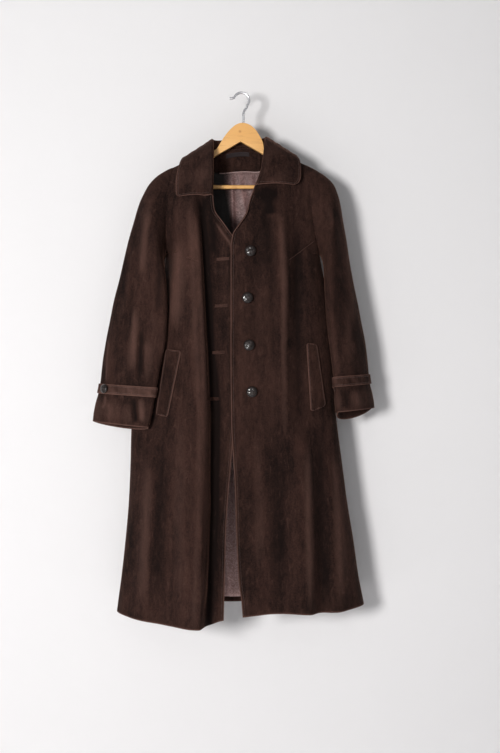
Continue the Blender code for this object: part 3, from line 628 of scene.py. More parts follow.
def labelFinish():
    f = Finish("plain woven label")
    weave = f.node("ShaderNodeTexWave", {"bands_direction": "X"}, {
        "Vector": f.place(), "Scale": 420, "Distortion": 0.4})
    fleck = f.noise(f.place(), 700, 2, 0.6)
    color = f.blend(weave * 0.5 + fleck * 0.5, (0.010, 0.007, 0.007), (0.042, 0.031, 0.033))
    f.set(Base_Color=color, Roughness=0.65, Normal=f.bump(weave, 0.3, 0.0003))
    f.set(Specular_IOR_Level=0.15)
    return f.material


def leatherFinish():
    f = Finish("dark knotted leather")
    shade = f.shade()
    pores = f.noise(f.place(), 900, 3, 0.6)
    mottle = f.noise(f.place(), 120, 2, 0.5)
    # the shade from the weave paints light on the raised strands and shade between them
    tone = (mottle * 0.6 + shade * 0.5).fitted()
    color = f.blend(tone, (0.006, 0.0038, 0.0035), (0.03, 0.018, 0.015))
    f.set(Base_Color=color, Roughness=(0.3 + mottle * 0.16 + pores * 0.1), Coat_Weight=0.55,
          Normal=f.bump(pores, 0.2, 0.0004))
    f.set(Coat_Roughness=0.1, Specular_IOR_Level=0.25)
    return f.material


woodLook = {
    "pale": (0.88, 0.53, 0.19), "honey": (0.72, 0.34, 0.09), "grain": (0.42, 0.15, 0.035),
    "knot": (0.0023, 0.006, 0.0874), "knotSize": 0.0045,
}


def woodFinish():
    look = woodLook
    f = Finish("varnished light wood")
    drift = f.noise(f.place((0.25, 1, 0.8)), 16, 2, 0.5)
    lines = f.noise(f.place((0.1, 1, 1)), 240, 3, 0.6, 0.6)
    pores = f.noise(f.place((0.04, 1, 1)), 900, 2, 0.6)
    color = f.blend(drift, look["honey"], look["pale"])
    color = f.blend(((lines - 0.52).most(0) * 2.6).fitted() * 0.55, color, look["grain"])
    knot = f.noise(f.place(), 38)
    color = f.blend(((knot - 0.66).most(0) * 5).fitted() * 0.6, color, look["grain"])
    spot = f.node("ShaderNodeMapping", {}, {
        "Vector": f.node("ShaderNodeTexCoord", {}, {}, "Object"), "Location": look["knot"]})
    away = f.node("ShaderNodeVectorMath", {"operation": "LENGTH"}, {0: spot}, "Value")
    ring = (away * (-1 / look["knotSize"]) + 1).fitted()
    color = f.blend(ring * 0.85, color, look["grain"])
    f.set(Base_Color=color, Roughness=0.36 + (pores - 0.5) * 0.16, Coat_Weight=0.35,
          Normal=f.bump(lines * 0.5 + pores * 0.5, 0.12, 0.0004))
    f.set(Coat_Roughness=0.15)
    return f.material


def chromeFinish():
    f = Finish("polished steel wire")
    worn = f.noise(f.place(), 90, 3, 0.6)
    fine = f.noise(f.place((1, 1, 0.2)), 700, 2, 0.5)
    f.set(Base_Color=f.blend(worn, (0.74, 0.74, 0.77), (0.9, 0.9, 0.92)), Metallic=1.0,
          Roughness=0.2 + worn * 0.14, Normal=f.bump(fine, 0.05, 0.0002))
    return f.material


velvet = velvetFinish()
satin = satinFinish("figured mauve satin", satinLook)
paleSatin = satinFinish("pale satin piping", {
    **satinLook, "ground": (0.34, 0.23, 0.22), "figure": (0.46, 0.33, 0.31)})
thread = threadFinish()
leather = leatherFinish()
wood = woodFinish()
print("materials made")


def dress(piece, material, nodes=()):
    piece.data.materials.append(material)
    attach(piece, "root")
    if nodes:
        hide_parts(*nodes)
    return piece


def sewn(name, lines):
    return dress(stitches(name, lines), thread)


# The fronts

fronts = {"rumple": 0.5, "shade": 0.4}
# depth, width, fade at the ends and the line of x and height
leftCreases = (
    (4.0, 7, 0.1, ((-102, -238), (-92, -370), (-88, -480), (-80, -615), (-76, -730), (-75, -940),
                   (-78, -1060), (-86, -1210))),
    (-4.0, 8, 0.12, ((-90, -240), (-80, -380), (-73, -490), (-66, -620), (-58, -730), (-60, -950),
                     (-64, -1060), (-72, -1210))),
    (2.2, 11, 0.3, ((-142, -330), (-150, -420), (-152, -560))),
    (-1.6, 9, 0.3, ((-166, -300), (-172, -420), (-178, -540))),
    (1.6, 14, 0.3, ((-205, -800), (-214, -980), (-222, -1200))),
    (-1.8, 16, 0.3, ((-178, -760), (-186, -960), (-196, -1200))),
    (1.4, 12, 0.3, ((-128, -700), (-132, -900), (-140, -1200))),
    (-1.2, 14, 0.3, ((-104, -620), (-106, -800), (-110, -1100))),
    (1.0, 16, 0.3, ((-20, -560), (-32, -760), (-48, -1000), (-52, -1180))),
    (-1.5, 2.4, 0.15, ((-123, -383), (-94, -394))),
    (1.3, 6, 0.4, ((-90, -400), (-60, -412), (-20, -420))),
)
rightCreases = (
    (2.6, 9, 0.25, ((84, -250), (90, -330), (98, -440), (96, -560), (92, -700))),
    (-2.4, 11, 0.3, ((66, -232), (70, -330), (72, -460), (74, -620))),
    (-2.6, 10, 0.3, ((124, -330), (126, -450), (122, -600))),
    (1.8, 12, 0.3, ((44, -420), (48, -560), (46, -720))),
    (2.2, 10, 0.3, ((150, -780), (152, -960), (156, -1190))),
    (-2.4, 12, 0.3, ((178, -740), (186, -920), (194, -1190))),
    (2.0, 10, 0.3, ((212, -820), (222, -960), (238, -1180))),
    (-1.4, 18, 0.3, ((96, -760), (98, -960), (100, -1180))),
    (1.4, 18, 0.3, ((60, -740), (58, -960), (56, -1190))),
    (-1.5, 2.4, 0.12, ((165, -344), (108, -390))),
    (1.6, 8, 0.3, ((100, -396), (60, -420), (34, -440))),
    (-2.0, 12, 0.3, ((30, -252), (52, -272), (66, -330))),
    (1.2, 9, 0.4, ((10, -470), (40, -500), (70, -540))),
)
# painted light and shade, lines where the cloth is coloured lighter or darker: strength, width, fade
# and the line
leftLightAndShade = (
    (-1.35, 9, 0.05, ((-92, -232), (-79, -372), (-72, -479), (-65, -615), (-57, -729), (-59, -940),
                      (-66, -1060), (-72, -1240))),
    (-0.6, 15, 0.15, ((-60, -590), (-53, -729), (-53, -940), (-60, -1120))),
    (-0.9, 9, 0.1, ((-84, -236), (-66, -290), (-60, -380))),
    (0.18, 7, 0.1, ((-118, -240), (-107, -372), (-104, -479), (-97, -615), (-92, -729), (-93, -940),
                    (-97, -1060), (-104, -1240))),
    (0.26, 16, 0.25, ((-136, -330), (-140, -430), (-147, -560))),
    (0.5, 2.8, 0.08, ((-75, -250), (-73, -276), (-52, -312), (-25, -350), (-11, -380))),
    (0.22, 14, 0.25, ((-200, -820), (-212, -980), (-220, -1180))),
    (-0.35, 14, 0.25, ((-170, -780), (-180, -960), (-190, -1190))),
    (-0.30, 10, 0.25, ((-168, -330), (-176, -460), (-186, -600))),
)
rightLightAndShade = (
    (0.30, 8, 0.2, ((92, -250), (94, -330), (97, -480), (97, -830))),
    (-0.60, 12, 0.2, ((124, -262), (128, -400), (130, -560), (131, -820))),
    (0.28, 7, 0.2, ((150, -780), (151, -960), (155, -1190))),
    (-0.55, 12, 0.2, ((176, -740), (180, -940), (187, -1190))),
    (0.25, 8, 0.2, ((211, -800), (216, -960), (227, -1190))),
    (-1.0, 12, 0.05, ((34, -246), (56, -236), (84, -236))),
    (-1.0, 14, 0.03, ((48, -228), (62, -246), (68, -284))),
    (-0.2, 46, 0.1, ((58, -290), (60, -700), (74, -1200))),
    (-0.45, 14, 0.2, ((52, -260), (58, -330), (60, -420))),
    (0.22, 16, 0.3, ((38, -700), (40, -900), (46, -1150))),
    (-0.25, 16, 0.3, ((72, -760), (76, -960), (80, -1180))),
)
lightAndShadeLines = {"left": leftLightAndShade, "right": rightLightAndShade}
# how far the turned edge has come round at each of its added columns
curlParts = (0.15, 0.32, 0.5, 0.68, 0.85, 0.93, 0.97, 1.0)


def frontGrid(side):
    edge = edgeOf[side]
    seam = -1.0 if side == "left" else 1.0
    height = coatForm["spreadAt"]
    reach = float(turnOf(across(edge["x"](height), height)))
    spread = evenTurns("front", seam, reach, height, coatForm["frontColumns"])
    spread = withRims(spread, 300)[:-3]
    spread[-1] = 1.0
    height = bodyHeights()[:, None]
    stop = turnOf(across(edge["x"](height), height))
    turns = seam + (stop - seam) * spread[None, :]
    grid = frontPoint(side, np.sin(turns * math.pi / 2), height + np.zeros_like(turns))
    along = unit(grid[:, -1] - grid[:, -3])
    out = unit(np.cross(along, (0, 0, 1)))
    out = np.where(out[:, 1:2] < 0, out, -out)
    degrees = edge["curl"](height[:, 0])
    rolled = []
    whole = curled["points"] * curled["step"]
    for part in curlParts:
        turn = np.radians(degrees) * part
        flat = np.maximum(1 - degrees / curled["opens"], 0) * part * whole
        rolled.append(grid[:, -1] + along * (curled["radius"] * np.sin(turn) + flat)[:, None]
                      + out * (curled["radius"] * (1 - np.cos(turn)))[:, None])
    grid = np.concatenate([grid, np.stack(rolled, axis=1)], axis=1)
    return grid if side == "left" else grid[:, ::-1]


def seamNormals(normals, column, height, face):
    # at the side seam and the armhole, both neighbours share one direction
    outward = 1 if column == -1 and face == "front" or column == 0 and face == "back" else -1
    share = rimShare(height)
    depth = np.sqrt(np.maximum(1 - share ** 2, 0)) * (-1 if face == "front" else 1)
    upper = stacked(np.zeros_like(share), depth, share)
    below = np.array((outward, 0.0, 0.0))
    normals[:, column] = np.where((height > coatForm["underarm"])[:, None], upper, below)


def faceShade(amount):
    # painted light on the ridges of the creases and painted shade in their valleys
    fullDepth = 6
    return np.clip(amount / fullDepth, -1, 1)


panel = {"seamFade": 16, "topFade": 14, "fineRumple": 0.35}
panelFaces = {}


def bodyPanel(name, grid, face, seams, seamAway, sewnTop, amount, shade, free):
    # a front or the back, with its creases laid on the form; they fade out at the seams
    height = bodyHeights()

    def aimed(points):
        normals = turnedTo(normalsOf(points), face)
        normals[0, sewnTop] = (0, 0, 1)
        for column in seams:
            seamNormals(normals, column, height, face)
        return normals

    fade = ease(seamAway, 0, panel["seamFade"])
    fade = fade * ease(coatForm["shoulder"] - height, 0, panel["topFade"])[:, None]
    mid = grid + aimed(grid) * (amount * fade - coatForm["cloth"] / 2)[..., None]
    normals = aimed(mid)
    piece = clothPiece(name, mid, normals, coatForm["cloth"], free, shade=shade)
    return piece, (mid + normals * coatForm["cloth"] / 2, normals)


def makeFront(side, creases, name, node, seed):
    grid = frontGrid(side)
    x, z = grid[..., 0], grid[..., 2]
    away = runAlong(grid, 1)
    away = away if side == "left" else away[:, -1:] - away
    amount = creased(x, z, creases) + rumpled(x, z, seed, (120, 420), fronts["rumple"])
    amount += rumpled(x, z, seed + 5, (46, 150), fronts["rumple"] * panel["fineRumple"])
    # painted light and shade from the creases and from the listed lines
    shade = faceShade(amount) * fronts["shade"] + creased(x, z, lightAndShadeLines[side])
    seams, free = ([0], "br") if side == "left" else ([-1], "bl")
    everywhere = slice(None)
    piece, panelFaces[side] = bodyPanel(
        name, grid, "front", seams, away, everywhere, amount, shade, free)
    return dress(piece, velvet, [node])


frontLeft = makeFront("left", leftCreases, "buttonholeFront", "front_buttonhole_side", 3)
frontRight = makeFront("right", rightCreases, "buttonFront", "front_button_side", 11)
print("fronts made")


# The back, its lining, the neck facing and the label

backSide = {
    "rumple": 0.55, "shade": 0.5, "liningHem": 12, "liningGap": 1.0, "lining": 1.0,
    "liningTrim": 7, "liningOff": 2.4,
    "facingDepth": 36, "facingGap": 2.1, "facingAcross": (-51, 46), "facingTop": 2,
    "labelAcross": (-36, 20), "labelDown": (4, 12), "labelThick": 0.6,
}
backCreases = (
    (2.4, 16, 0.25, ((-40, -300), (-52, -600), (-62, -900), (-72, -1200))),
    (-2.2, 16, 0.25, ((4, -330), (0, -620), (-4, -900), (-6, -1200))),
    (2.2, 14, 0.25, ((48, -340), (56, -640), (62, -940), (70, -1200))),
    (-2.0, 14, 0.25, ((-96, -380), (-110, -640), (-124, -900), (-136, -1200))),
    (1.8, 14, 0.25, ((128, -420), (150, -700), (168, -1000), (178, -1200))),
    (-1.8, 14, 0.25, ((96, -420), (104, -700), (112, -1000), (120, -1200))),
    (1.8, 14, 0.25, ((-150, -480), (-172, -760), (-196, -1040), (-208, -1200))),
    (1.2, 9, 0.35, ((-150, -268), (-90, -300), (-20, -306))),
    (-1.1, 9, 0.35, ((150, -262), (84, -292), (20, -300))),
    (-1.3, 10, 0.35, ((-120, -214), (-60, -222), (0, -219), (60, -222), (118, -212))),
    (-1.4, 12, 0.3, ((-225, -820), (-238, -1000), (-250, -1190))),
    (1.4, 12, 0.3, ((206, -780), (222, -980), (236, -1190))),
)
liningCreases = (
    (3.0, 3.2, 0.15, ((-21, -176), (-22, -215), (-20, -262), (-17, -330))),
    (-3.0, 4.0, 0.2, ((-27, -178), (-29, -230), (-29, -320))),
    (-2.0, 4.5, 0.2, ((-13, -180), (-11, -230), (-7, -320))),
    (2.2, 5.0, 0.2, ((-4, -196), (6, -240), (16, -320))),
    (-2.0, 5.0, 0.2, ((6, -182), (18, -224), (34, -300))),
    (2.0, 6.0, 0.2, ((18, -182), (32, -216), (50, -280))),
    (-1.6, 5.0, 0.2, ((30, -178), (46, -206), (64, -260))),
    (2.4, 9, 0.3, ((-34, -800), (-30, -960), (-26, -1140))),
    (-2.4, 9, 0.3, ((-18, -820), (-14, -980), (-10, -1150))),
    (2.0, 9, 0.3, ((6, -700), (4, -900), (8, -1150))),
    (2.4, 4, 0.2, ((-26, -1110), (-22, -1140), (-24, -1176))),
    (-2.2, 4, 0.2, ((-33, -1120), (-31, -1176))),
    (2.6, 16, 0.25, ((-120, -420), (-140, -760), (-170, -1160))),
    (-2.4, 16, 0.25, ((-80, -400), (-90, -760), (-110, -1160))),
    (2.4, 16, 0.25, ((110, -420), (130, -760), (150, -1160))),
    (-2.4, 16, 0.25, ((66, -420), (76, -760), (90, -1160))),
)
# painted shadow down the left of the neck opening, painted light on a few folds and painted light in
# the lower gap between the fronts
liningLightAndShade = (
    (-1.0, 13, 0.03, ((-50, -160), (-31, -300), (-26, -360))),
    (-1.0, 20, 0.03, ((-74, -160), (-58, -300), (-50, -360))),
    (0.35, 6, 0.2, ((-24, -180), (-18, -240), (-12, -290))),
    (0.3, 9, 0.3, ((2, -190), (12, -250))),
    (1.0, 26, 0.04, ((-20, -700), (-20, -960), (-14, -1190))),
)


def backGrid():
    spread = evenTurns("back", -1.0, 1.0, coatForm["spreadAt"], coatForm["backColumns"])
    spread = withRims(spread, 640)
    shares = np.sin((2 * spread[::-1] - 1) * math.pi / 2)[None, :]
    height = bodyHeights()
    top, low = coatForm["shoulder"], coatForm["underarm"]
    turns = np.arccos(rimShare(height)) / math.pi
    fade = np.where(height > low, 1 - turns, 0)[:, None]
    x = middle(top) + halfWidth(top) * shares
    return bodyPoint("back", shares, height[:, None] - neckOf(x) * fade), height


def makeBack():
    look = backSide
    grid, height = backGrid()
    free = (grid[0, :, 0] > backNeck[0][0]) & (grid[0, :, 0] < backNeck[-1][0])
    x, z = grid[..., 0], grid[..., 2]
    run = runAlong(grid, 1)
    away = np.minimum(run, run[:, -1:] - run)
    amount = creased(x, z, backCreases) + rumpled(x, z, 21, (130, 420), look["rumple"])
    amount += rumpled(x, z, 25, (50, 160), look["rumple"] * panel["fineRumple"])
    # the back's painted light and shade comes from its creases
    piece, _ = bodyPanel("coatBack", grid, "back", (0, -1), away, ~free, amount,
                         faceShade(amount) * look["shade"], "b")
    return dress(piece, velvet, ["back"])


def makeLining():
    look = backSide
    grid, height = backGrid()
    rows = np.where(height < coatForm["shoulder"] - look["facingDepth"] + 2)[0]
    trim = look["liningTrim"]
    lining = grid[rows[0]:, trim:-trim]
    inside = turnedTo(normalsOf(grid), "back")[rows[0]:, trim:-trim]
    total = runAlong(lining, 0)
    keep = np.where((total[-1] - total).mean(axis=1) > look["liningHem"])[0]
    lining, inside = lining[:keep[-1] + 1], inside[:keep[-1] + 1]
    total = total[:keep[-1] + 1]
    x, z = lining[..., 0], lining[..., 2]
    fold = creased(x, z, liningCreases) + rumpled(x, z, 31, (60, 500), 0.7)
    fold += 1.8 * ease(total - total[-1:], -34, -20) * ease(total[-1:] - total, 2, 12)
    top = ease(total, 0, 16)
    run = runAlong(lining, 1)
    sides = ease(np.minimum(run, run[:, -1:] - run), 0, 20)
    fold = np.maximum(fold * top * sides, -0.6) + look["liningOff"] * top * sides
    depth = coatForm["cloth"] + look["liningGap"] + look["lining"] / 2
    mid = lining - inside * (depth + fold)[..., None]
    turned = turnedTo(normalsOf(mid), "back")
    # painted light on the raised folds and painted shade in the hollows, with the listed lines
    shade = np.clip((fold - look["liningOff"]) / 8, -0.2, 0.5) + creased(x, z, liningLightAndShade)
    made = clothPiece("backLining", mid, turned, look["lining"], "", shade=shade)
    dress(made, satin, ["back_lining"])
    return made


def backPatch(span, downs, columns, rows, inside):
    v = np.linspace(*downs, rows)[:, None]
    x = np.linspace(span[1], span[0], columns)[None, :] + v * 0
    height = coatForm["shoulder"] - neckOf(x) - v
    share = across(x, height)
    normal = bodyNormal("back", share, height)
    return bodyPoint("back", share, height) - normal * inside, normal


coatBack = makeBack()
backLining = makeLining()
deep = coatForm["cloth"] + backSide["facingGap"]
facingGrid, facingNormals = backPatch(
    backSide["facingAcross"], (backSide["facingTop"], backSide["facingDepth"]), 60, 26, deep + 0.5)
neckFacing = clothPiece("neckFacing", facingGrid, facingNormals, 1.0, "")
dress(neckFacing, velvet, ["back_neck_facing"])
labelGrid, labelNormals = backPatch(
    backSide["labelAcross"], backSide["labelDown"], 40, 10, deep + 1.6 + backSide["labelThick"] / 2)
neckLabel = clothPiece("neckLabel", labelGrid, labelNormals, backSide["labelThick"])
dress(neckLabel, labelFinish(), ["neck_label"])
pipingRun = facingGrid[-1] - facingNormals[-1] * 1.8
piping = dress(tube("neckPiping", pipingRun, 1.2), paleSatin)
print("back, lining, facing and label made")


# Sleeves and cuff straps

sleeveForm = {"rows": 170, "columns": 112, "strapRings": (7, 8), "strapOut": 1.0, "strapCloth": 2.2,
              "strapLight": {"left": 0.42, "right": 0.0}, "cuffFlare": 1.6}
# outer and inner points, depth before and behind them, how much lower the back hangs
sleeveRows = {
    "left": (
        (-157, 0, -170, -172, 0, -368, 31, 31, 0), (-197, 0, -190, -174, -22, -386, 34, 32, 0),
        (-228, -2, -240, -172, -46, -408, 32, 30, 0), (-250, -4, -312, -168, -58, -446, 28, 27, 0),
        (-272, -7, -400, -165, -64, -500, 26, 24, 0), (-296, -10, -505, -168, -69, -560, 25, 22, 0),
        (-314, -12, -605, -180, -74, -625, 24, 22, 0), (-321, -13, -666, -189, -77, -674, 23, 22, 0),
        (-325, -13, -688, -193, -77, -696, 23, 22, 1), (-338, -13, -752, -207, -77, -764, 23, 22, 9),
    ),
    "right": (
        (147, 0, -163, 180, 0, -368, 31, 31, 0), (200, 2, -190, 186, -16, -384, 34, 33, 0),
        (226, 4, -242, 189, -36, -408, 34, 32, 0), (239, 6, -318, 190, -46, -446, 32, 30, 0),
        (251, 9, -395, 193, -52, -500, 30, 28, 0), (268, 12, -490, 199, -56, -555, 29, 26, 0),
        (283, 14, -580, 207, -62, -610, 28, 25, 2), (290, 16, -645, 212, -64, -650, 27, 25, 4),
        (293, 16, -667, 214, -64, -673, 27, 25, 6), (304, 16, -722, 219, -64, -730, 27, 25, 20),
    ),
}
sleeveRuns = {side: runsOf("ox oy oz ix iy iz front back drop", rows, None)
              for side, rows in sleeveRows.items()}
# seen from before: depth, width, fade and line; then the same from behind
sleeveCreases = {
    "left": (
        (2.0, 8, 0.25, ((-215, -260), (-222, -350), (-226, -440))),
        (-1.8, 8, 0.25, ((-232, -290), (-240, -400), (-246, -500))),
        (1.8, 8, 0.25, ((-238, -470), (-242, -560), (-246, -650))),
        (-2.4, 5, 0.2, ((-224, -540), (-227, -610), (-229, -664))),
        (2.2, 6, 0.2, ((-212, -560), (-212, -620), (-208, -668))),
        (-1.6, 3, 0.3, ((-307, -615), (-310, -670), (-308, -700))),
        (-2.6, 5, 0.2, ((-238, -700), (-234, -730), (-232, -752))),
        (2.4, 6, 0.2, ((-220, -698), (-217, -730), (-216, -756))),
        (2.0, 6, 0.3, ((-300, -704), (-292, -728), (-296, -748))),
        (-1.8, 9, 0.3, ((-186, -330), (-184, -420), (-186, -520))),
    ),
    "right": (
        (2.0, 9, 0.25, ((200, -250), (212, -330), (222, -430))),
        (-1.8, 9, 0.25, ((216, -270), (232, -380), (244, -480))),
        (1.8, 9, 0.25, ((230, -470), (242, -560), (252, -640))),
        (-2.0, 8, 0.25, ((214, -450), (224, -560), (230, -640))),
        (-1.4, 8, 0.3, ((262, -500), (272, -580), (278, -640))),
        (-2.0, 6, 0.25, ((232, -676), (236, -700), (238, -724))),
        (1.8, 7, 0.25, ((256, -676), (262, -700), (266, -720))),
        (1.4, 8, 0.3, ((196, -330), (200, -430), (206, -520))),
    ),
}
# painted light and shade on the sleeves: strength, width, fade and the line
sleeveLightAndShade = {
    "left": (
        (0.3, 7, 0.25, ((-206, -250), (-216, -340), (-222, -430))),
        (0.3, 7, 0.25, ((-236, -490), (-238, -580), (-240, -650))),
        (-0.7, 6, 0.2, ((-222, -540), (-224, -610), (-226, -664))),
        (0.25, 8, 0.3, ((-204, -560), (-204, -660))),
        (-0.5, 8, 0.25, ((-182, -330), (-182, -430), (-186, -520))),
        (-1.0, 6, 0.1, ((-239, -696), (-233, -754))),
        (0.3, 6, 0.2, ((-223, -696), (-221, -750))),
        (0.45, 2.6, 0.1, ((-302, -560), (-306, -662))),
        (0.5, 2.4, 0.1, ((-307, -693), (-306, -711), (-312, -723))),
    ),
    "right": (
        (-0.35, 14, 0.25, ((206, -290), (214, -420), (222, -560))),
        (0.25, 6, 0.3, ((236, -330), (250, -440), (262, -560))),
        (-0.5, 7, 0.25, ((232, -676), (238, -724))),
        (-0.3, 8, 0.3, ((262, -500), (276, -640))),
    ),
}


def rimPoint(side, turn):
    mid = (coatForm["shoulder"] + coatForm["underarm"]) / 2
    height = mid + (coatForm["shoulder"] - mid) * coatForm["rimEase"] * np.cos(turn)
    share = -1.0 if side == "left" else 1.0
    front = bodyPoint("front", share, height)
    return np.where((np.sin(turn) >= 0)[..., None], front, bodyPoint("back", share, height))


def sleevePoint(side, place, turn):
    runs = sleeveRuns[side]
    outer, inner = (stacked(*(runs[end + k](place) for k in "xyz")) for end in "oi")
    axis = (outer - inner) / 2
    ahead = unit(np.array((0.0, -1.0, 0.0)) + unit(axis) * unit(axis)[..., 1:2])
    sine = np.sin(turn)[..., None]
    depth = np.where(sine >= 0, runs["front"](place)[..., None], runs["back"](place)[..., None])
    point = (outer + inner) / 2 + axis * np.cos(turn)[..., None] + ahead * depth * sine
    point[..., 2] -= runs["drop"](place) * np.maximum(-np.sin(turn), 0)
    blend = ease(place, 0, coatForm["armholeBlend"])[..., None]
    return rimPoint(side, turn) * (1 - blend) + point * blend


def sleeveGrid(side, places, columns):
    turn = (2 * math.pi * np.arange(columns) / columns)[None, :] + places[:, None] * 0
    place = places[:, None] + turn * 0
    grid = sleevePoint(side, place, turn)
    return grid if side == "left" else grid[:, ::-1]


def outwardFrom(grid, wrap=True):
    # the normals of a tube of cloth, pointing away from its middle
    normals = normalsOf(grid, wrap)
    centre = grid.mean(axis=1, keepdims=True)
    row = len(grid) // 2
    return normals if np.sum(normals[row] * (grid[row] - centre[row])) > 0 else -normals


def makeSleeve(side, seed):
    count = len(sleeveRows[side]) - 1
    places = withRims(np.linspace(0, count, sleeveForm["rows"]), 600)
    grid = sleeveGrid(side, places, sleeveForm["columns"])
    normals = outwardFrom(grid)
    normals[0] *= (0, 1, 1)
    normals[0] = unit(normals[0])
    x, z = grid[..., 0], grid[..., 2]
    ahead = np.clip(-normals[..., 1], 0, 1)
    behind = np.clip(normals[..., 1], 0, 1)
    amount = creased(x, z, sleeveCreases[side]) * ahead
    amount += creased(x + 14, z + 20, sleeveCreases[side]) * behind * 0.8
    amount += (rumpled(x, z, seed, (60, 240), 0.5)
               + rumpled(grid[..., 1] * 2, z, seed + 3, (60, 170), 0.35))
    strap = sleeveForm["strapRings"]
    pulled = np.exp(-((places - sum(strap) / 2) / 0.75) ** 2)[:, None]
    amount = amount * (1 - pulled * 0.85) * ease(places, 0, 0.7)[:, None]
    amount -= pulled * 0.5
    flare = ease(places, strap[1] + 0.1, strap[1] + 0.5) * (1 - ease(places, 8.7, 9))
    amount += sleeveForm["cuffFlare"] * flare[:, None]
    mid = grid + normals * (amount - coatForm["cloth"] / 2)[..., None]
    surface = outwardFrom(mid)
    surface[0] = normals[0]
    # painted light and shade from the creases and the listed lines, on the side facing forward
    shade = faceShade(amount) * 0.5 + creased(x, z, sleeveLightAndShade[side]) * ahead
    piece = clothPiece("sleeve" + side.title(), mid, surface, coatForm["cloth"], "b", True, shade)
    return dress(piece, velvet, ["sleeve_viewer_" + side])


def makeStrap(side):
    low, high = sleeveForm["strapRings"]
    places = withRims(np.linspace(low, high, 16), 24)
    grid = sleeveGrid(side, places, sleeveForm["columns"])
    normals = outwardFrom(grid)
    thick = sleeveForm["strapCloth"]
    mid = grid + normals * (sleeveForm["strapOut"] + thick / 2)
    wave = rumpled(grid[..., 0] + grid[..., 1] * 2, grid[..., 2], 41, (50, 60), 0.25)
    mid = mid + normals * wave[..., None]
    # painted light on the side of the strap that faces forward, with random unevenness
    light = sleeveForm["strapLight"][side] * np.clip(-normals[..., 1], 0, 1)
    light = light + rumpled(grid[..., 0], grid[..., 2], 43, (24, 40), 0.14)
    piece = clothPiece("cuffStrap" + side.title(), mid, normals, thick, "tb", True, light)
    dress(piece, velvet, ["cuff_strap_viewer_" + side])
    outer = mid + normals * thick / 2
    lines = []
    for end in (False, True):
        line, ups = lineFrom(outer, normals, 0, end, stitch["insideCuff"], stitch["lift"])
        line = np.concatenate([line, line[:1]])
        ups = np.concatenate([ups, ups[:1]])
        lines.append(evenAlong(line, ups, stitch["pitch"]))
    return piece, sewn("cuffStitches" + side.title(), lines)


sleeves = {side: makeSleeve(side, seed) for side, seed in (("left", 51), ("right", 61))}
straps = {side: makeStrap(side) for side in ("left", "right")}
print("sleeves and cuff straps made")


# Collar and pocket welts

collarForm = {"seat": 2.9, "cloth": 2.4, "columns": 230, "rows": 56}
# seam x and distance down, edge x and distance down, stand, how upright, how far off the coat
collarFalls = (
    (-64, 88, -137, 82, 9, 0, 6), (-64, 84, -144, 74, 9, 0, 6), (-63, 58, -145, 48, 11, 0.15, 7),
    (-64, 22, -138, 14, 18, 0.7, 9), (-65, 1, -122, -10, 22, 1, 9), (-36, -10, -76, -45, 24, 1, 7),
    (-4, -13, -4, -54, 24, 1, 6), (28, -10, 66, -45, 24, 1, 7), (57, 1, 112, -10, 22, 1, 9),
    (53, 24, 132, 14, 18, 0.7, 11), (46, 54, 133, 38, 11, 0.15, 11), (37, 71, 129, 54, 9, 0, 10),
    (35, 76, 119, 62, 9, 0, 9),
)
collarSection = ((0, 0), (0, 0.55), (0.012, 0.86), (0.055, 1), (0.11, 0.93), (0.25, 0.72),
                 (0.5, 0.42), (0.75, 0.18), (1, 0))
collarStand = 3


def smoothRows(grid, places):
    # rows read off a smooth line through the given ones
    n = len(grid)
    i = np.clip(np.floor(places).astype(int), 0, n - 2)
    f = (places - i)[:, None, None]
    a = grid[np.maximum(i - 1, 0)]
    b, c = grid[i], grid[i + 1]
    d = grid[np.minimum(i + 2, n - 1)]
    return smoothBetween(a, b, c, d, f)


def makeCollar():
    form = collarForm
    falls = runsOf("neckX neckDown edgeX edgeDown stand upright off", collarFalls, None)
    place = withRims(np.linspace(0, len(collarFalls) - 1, form["columns"]), 620)
    at = {key: run(place) for key, run in falls.items()}
    lines = []
    for number, (reach, rise) in enumerate(collarSection):
        x = at["neckX"] + (at["edgeX"] - at["neckX"]) * reach
        down = at["neckDown"] + (at["edgeDown"] - at["neckDown"]) * reach
        height = coatForm["shoulder"] - np.abs(down)
        share = across(x, height)
        ahead = (down >= 0)[:, None]
        normal, base = (
            np.where(ahead, made("front", share, height), made("back", share, height))
            for made in (bodyNormal, bodyPoint))
        up = np.array((0.0, 0.0, 1.0))
        upright = at["upright"][:, None]
        aim = unit(unit(normal * (1 - upright) + up * upright) * (1 - reach) + normal * reach)
        if number < collarStand:
            out = form["seat"] + at["stand"] * rise
        else:
            out = at["off"] + (at["stand"] - at["off"]) * rise
        lines.append(base + aim * out[:, None])
    section = withRims(np.linspace(0, len(collarSection) - 1, form["rows"]), 110)
    grid = smoothRows(np.array(lines), section)
    normals = normalsOf(grid)
    row, column = int(len(grid) * 0.75), grid.shape[1] // 4
    if normals[row, column, 1] > 0:
        normals = -normals
    x, z = grid[..., 0], grid[..., 2]
    leaf = ease(section, 3, 5)[:, None]
    amount = rumpled(x, z, 71, (70, 90), 0.45) * leaf
    mid = grid + normals * (form["cloth"] / 2 + amount)[..., None]
    # painted light on the rumples' ridges and painted shade in their hollows, and the whole collar a
    # little lighter
    piece = clothPiece("coatCollar", mid, normals, form["cloth"], "blr", shade=amount / 6 + 0.08)
    dress(piece, velvet, ["collar"])
    outer = mid + normals * form["cloth"] / 2
    inside = stitch["inside"]
    edge = lineFrom(outer, normals, 0, True, inside, stitch["lift"])
    edge = evenAlong(*edge, stitch["pitch"], (inside, inside))
    ends = []
    for end in (False, True):
        line, ups = lineFrom(outer, normals, 1, end, inside, stitch["lift"])
        keep = section > 3.6
        ends.append(evenAlong(line[keep], ups[keep], stitch["pitch"], (0, inside)))
    return piece, sewn("collarStitches", [edge, *ends])


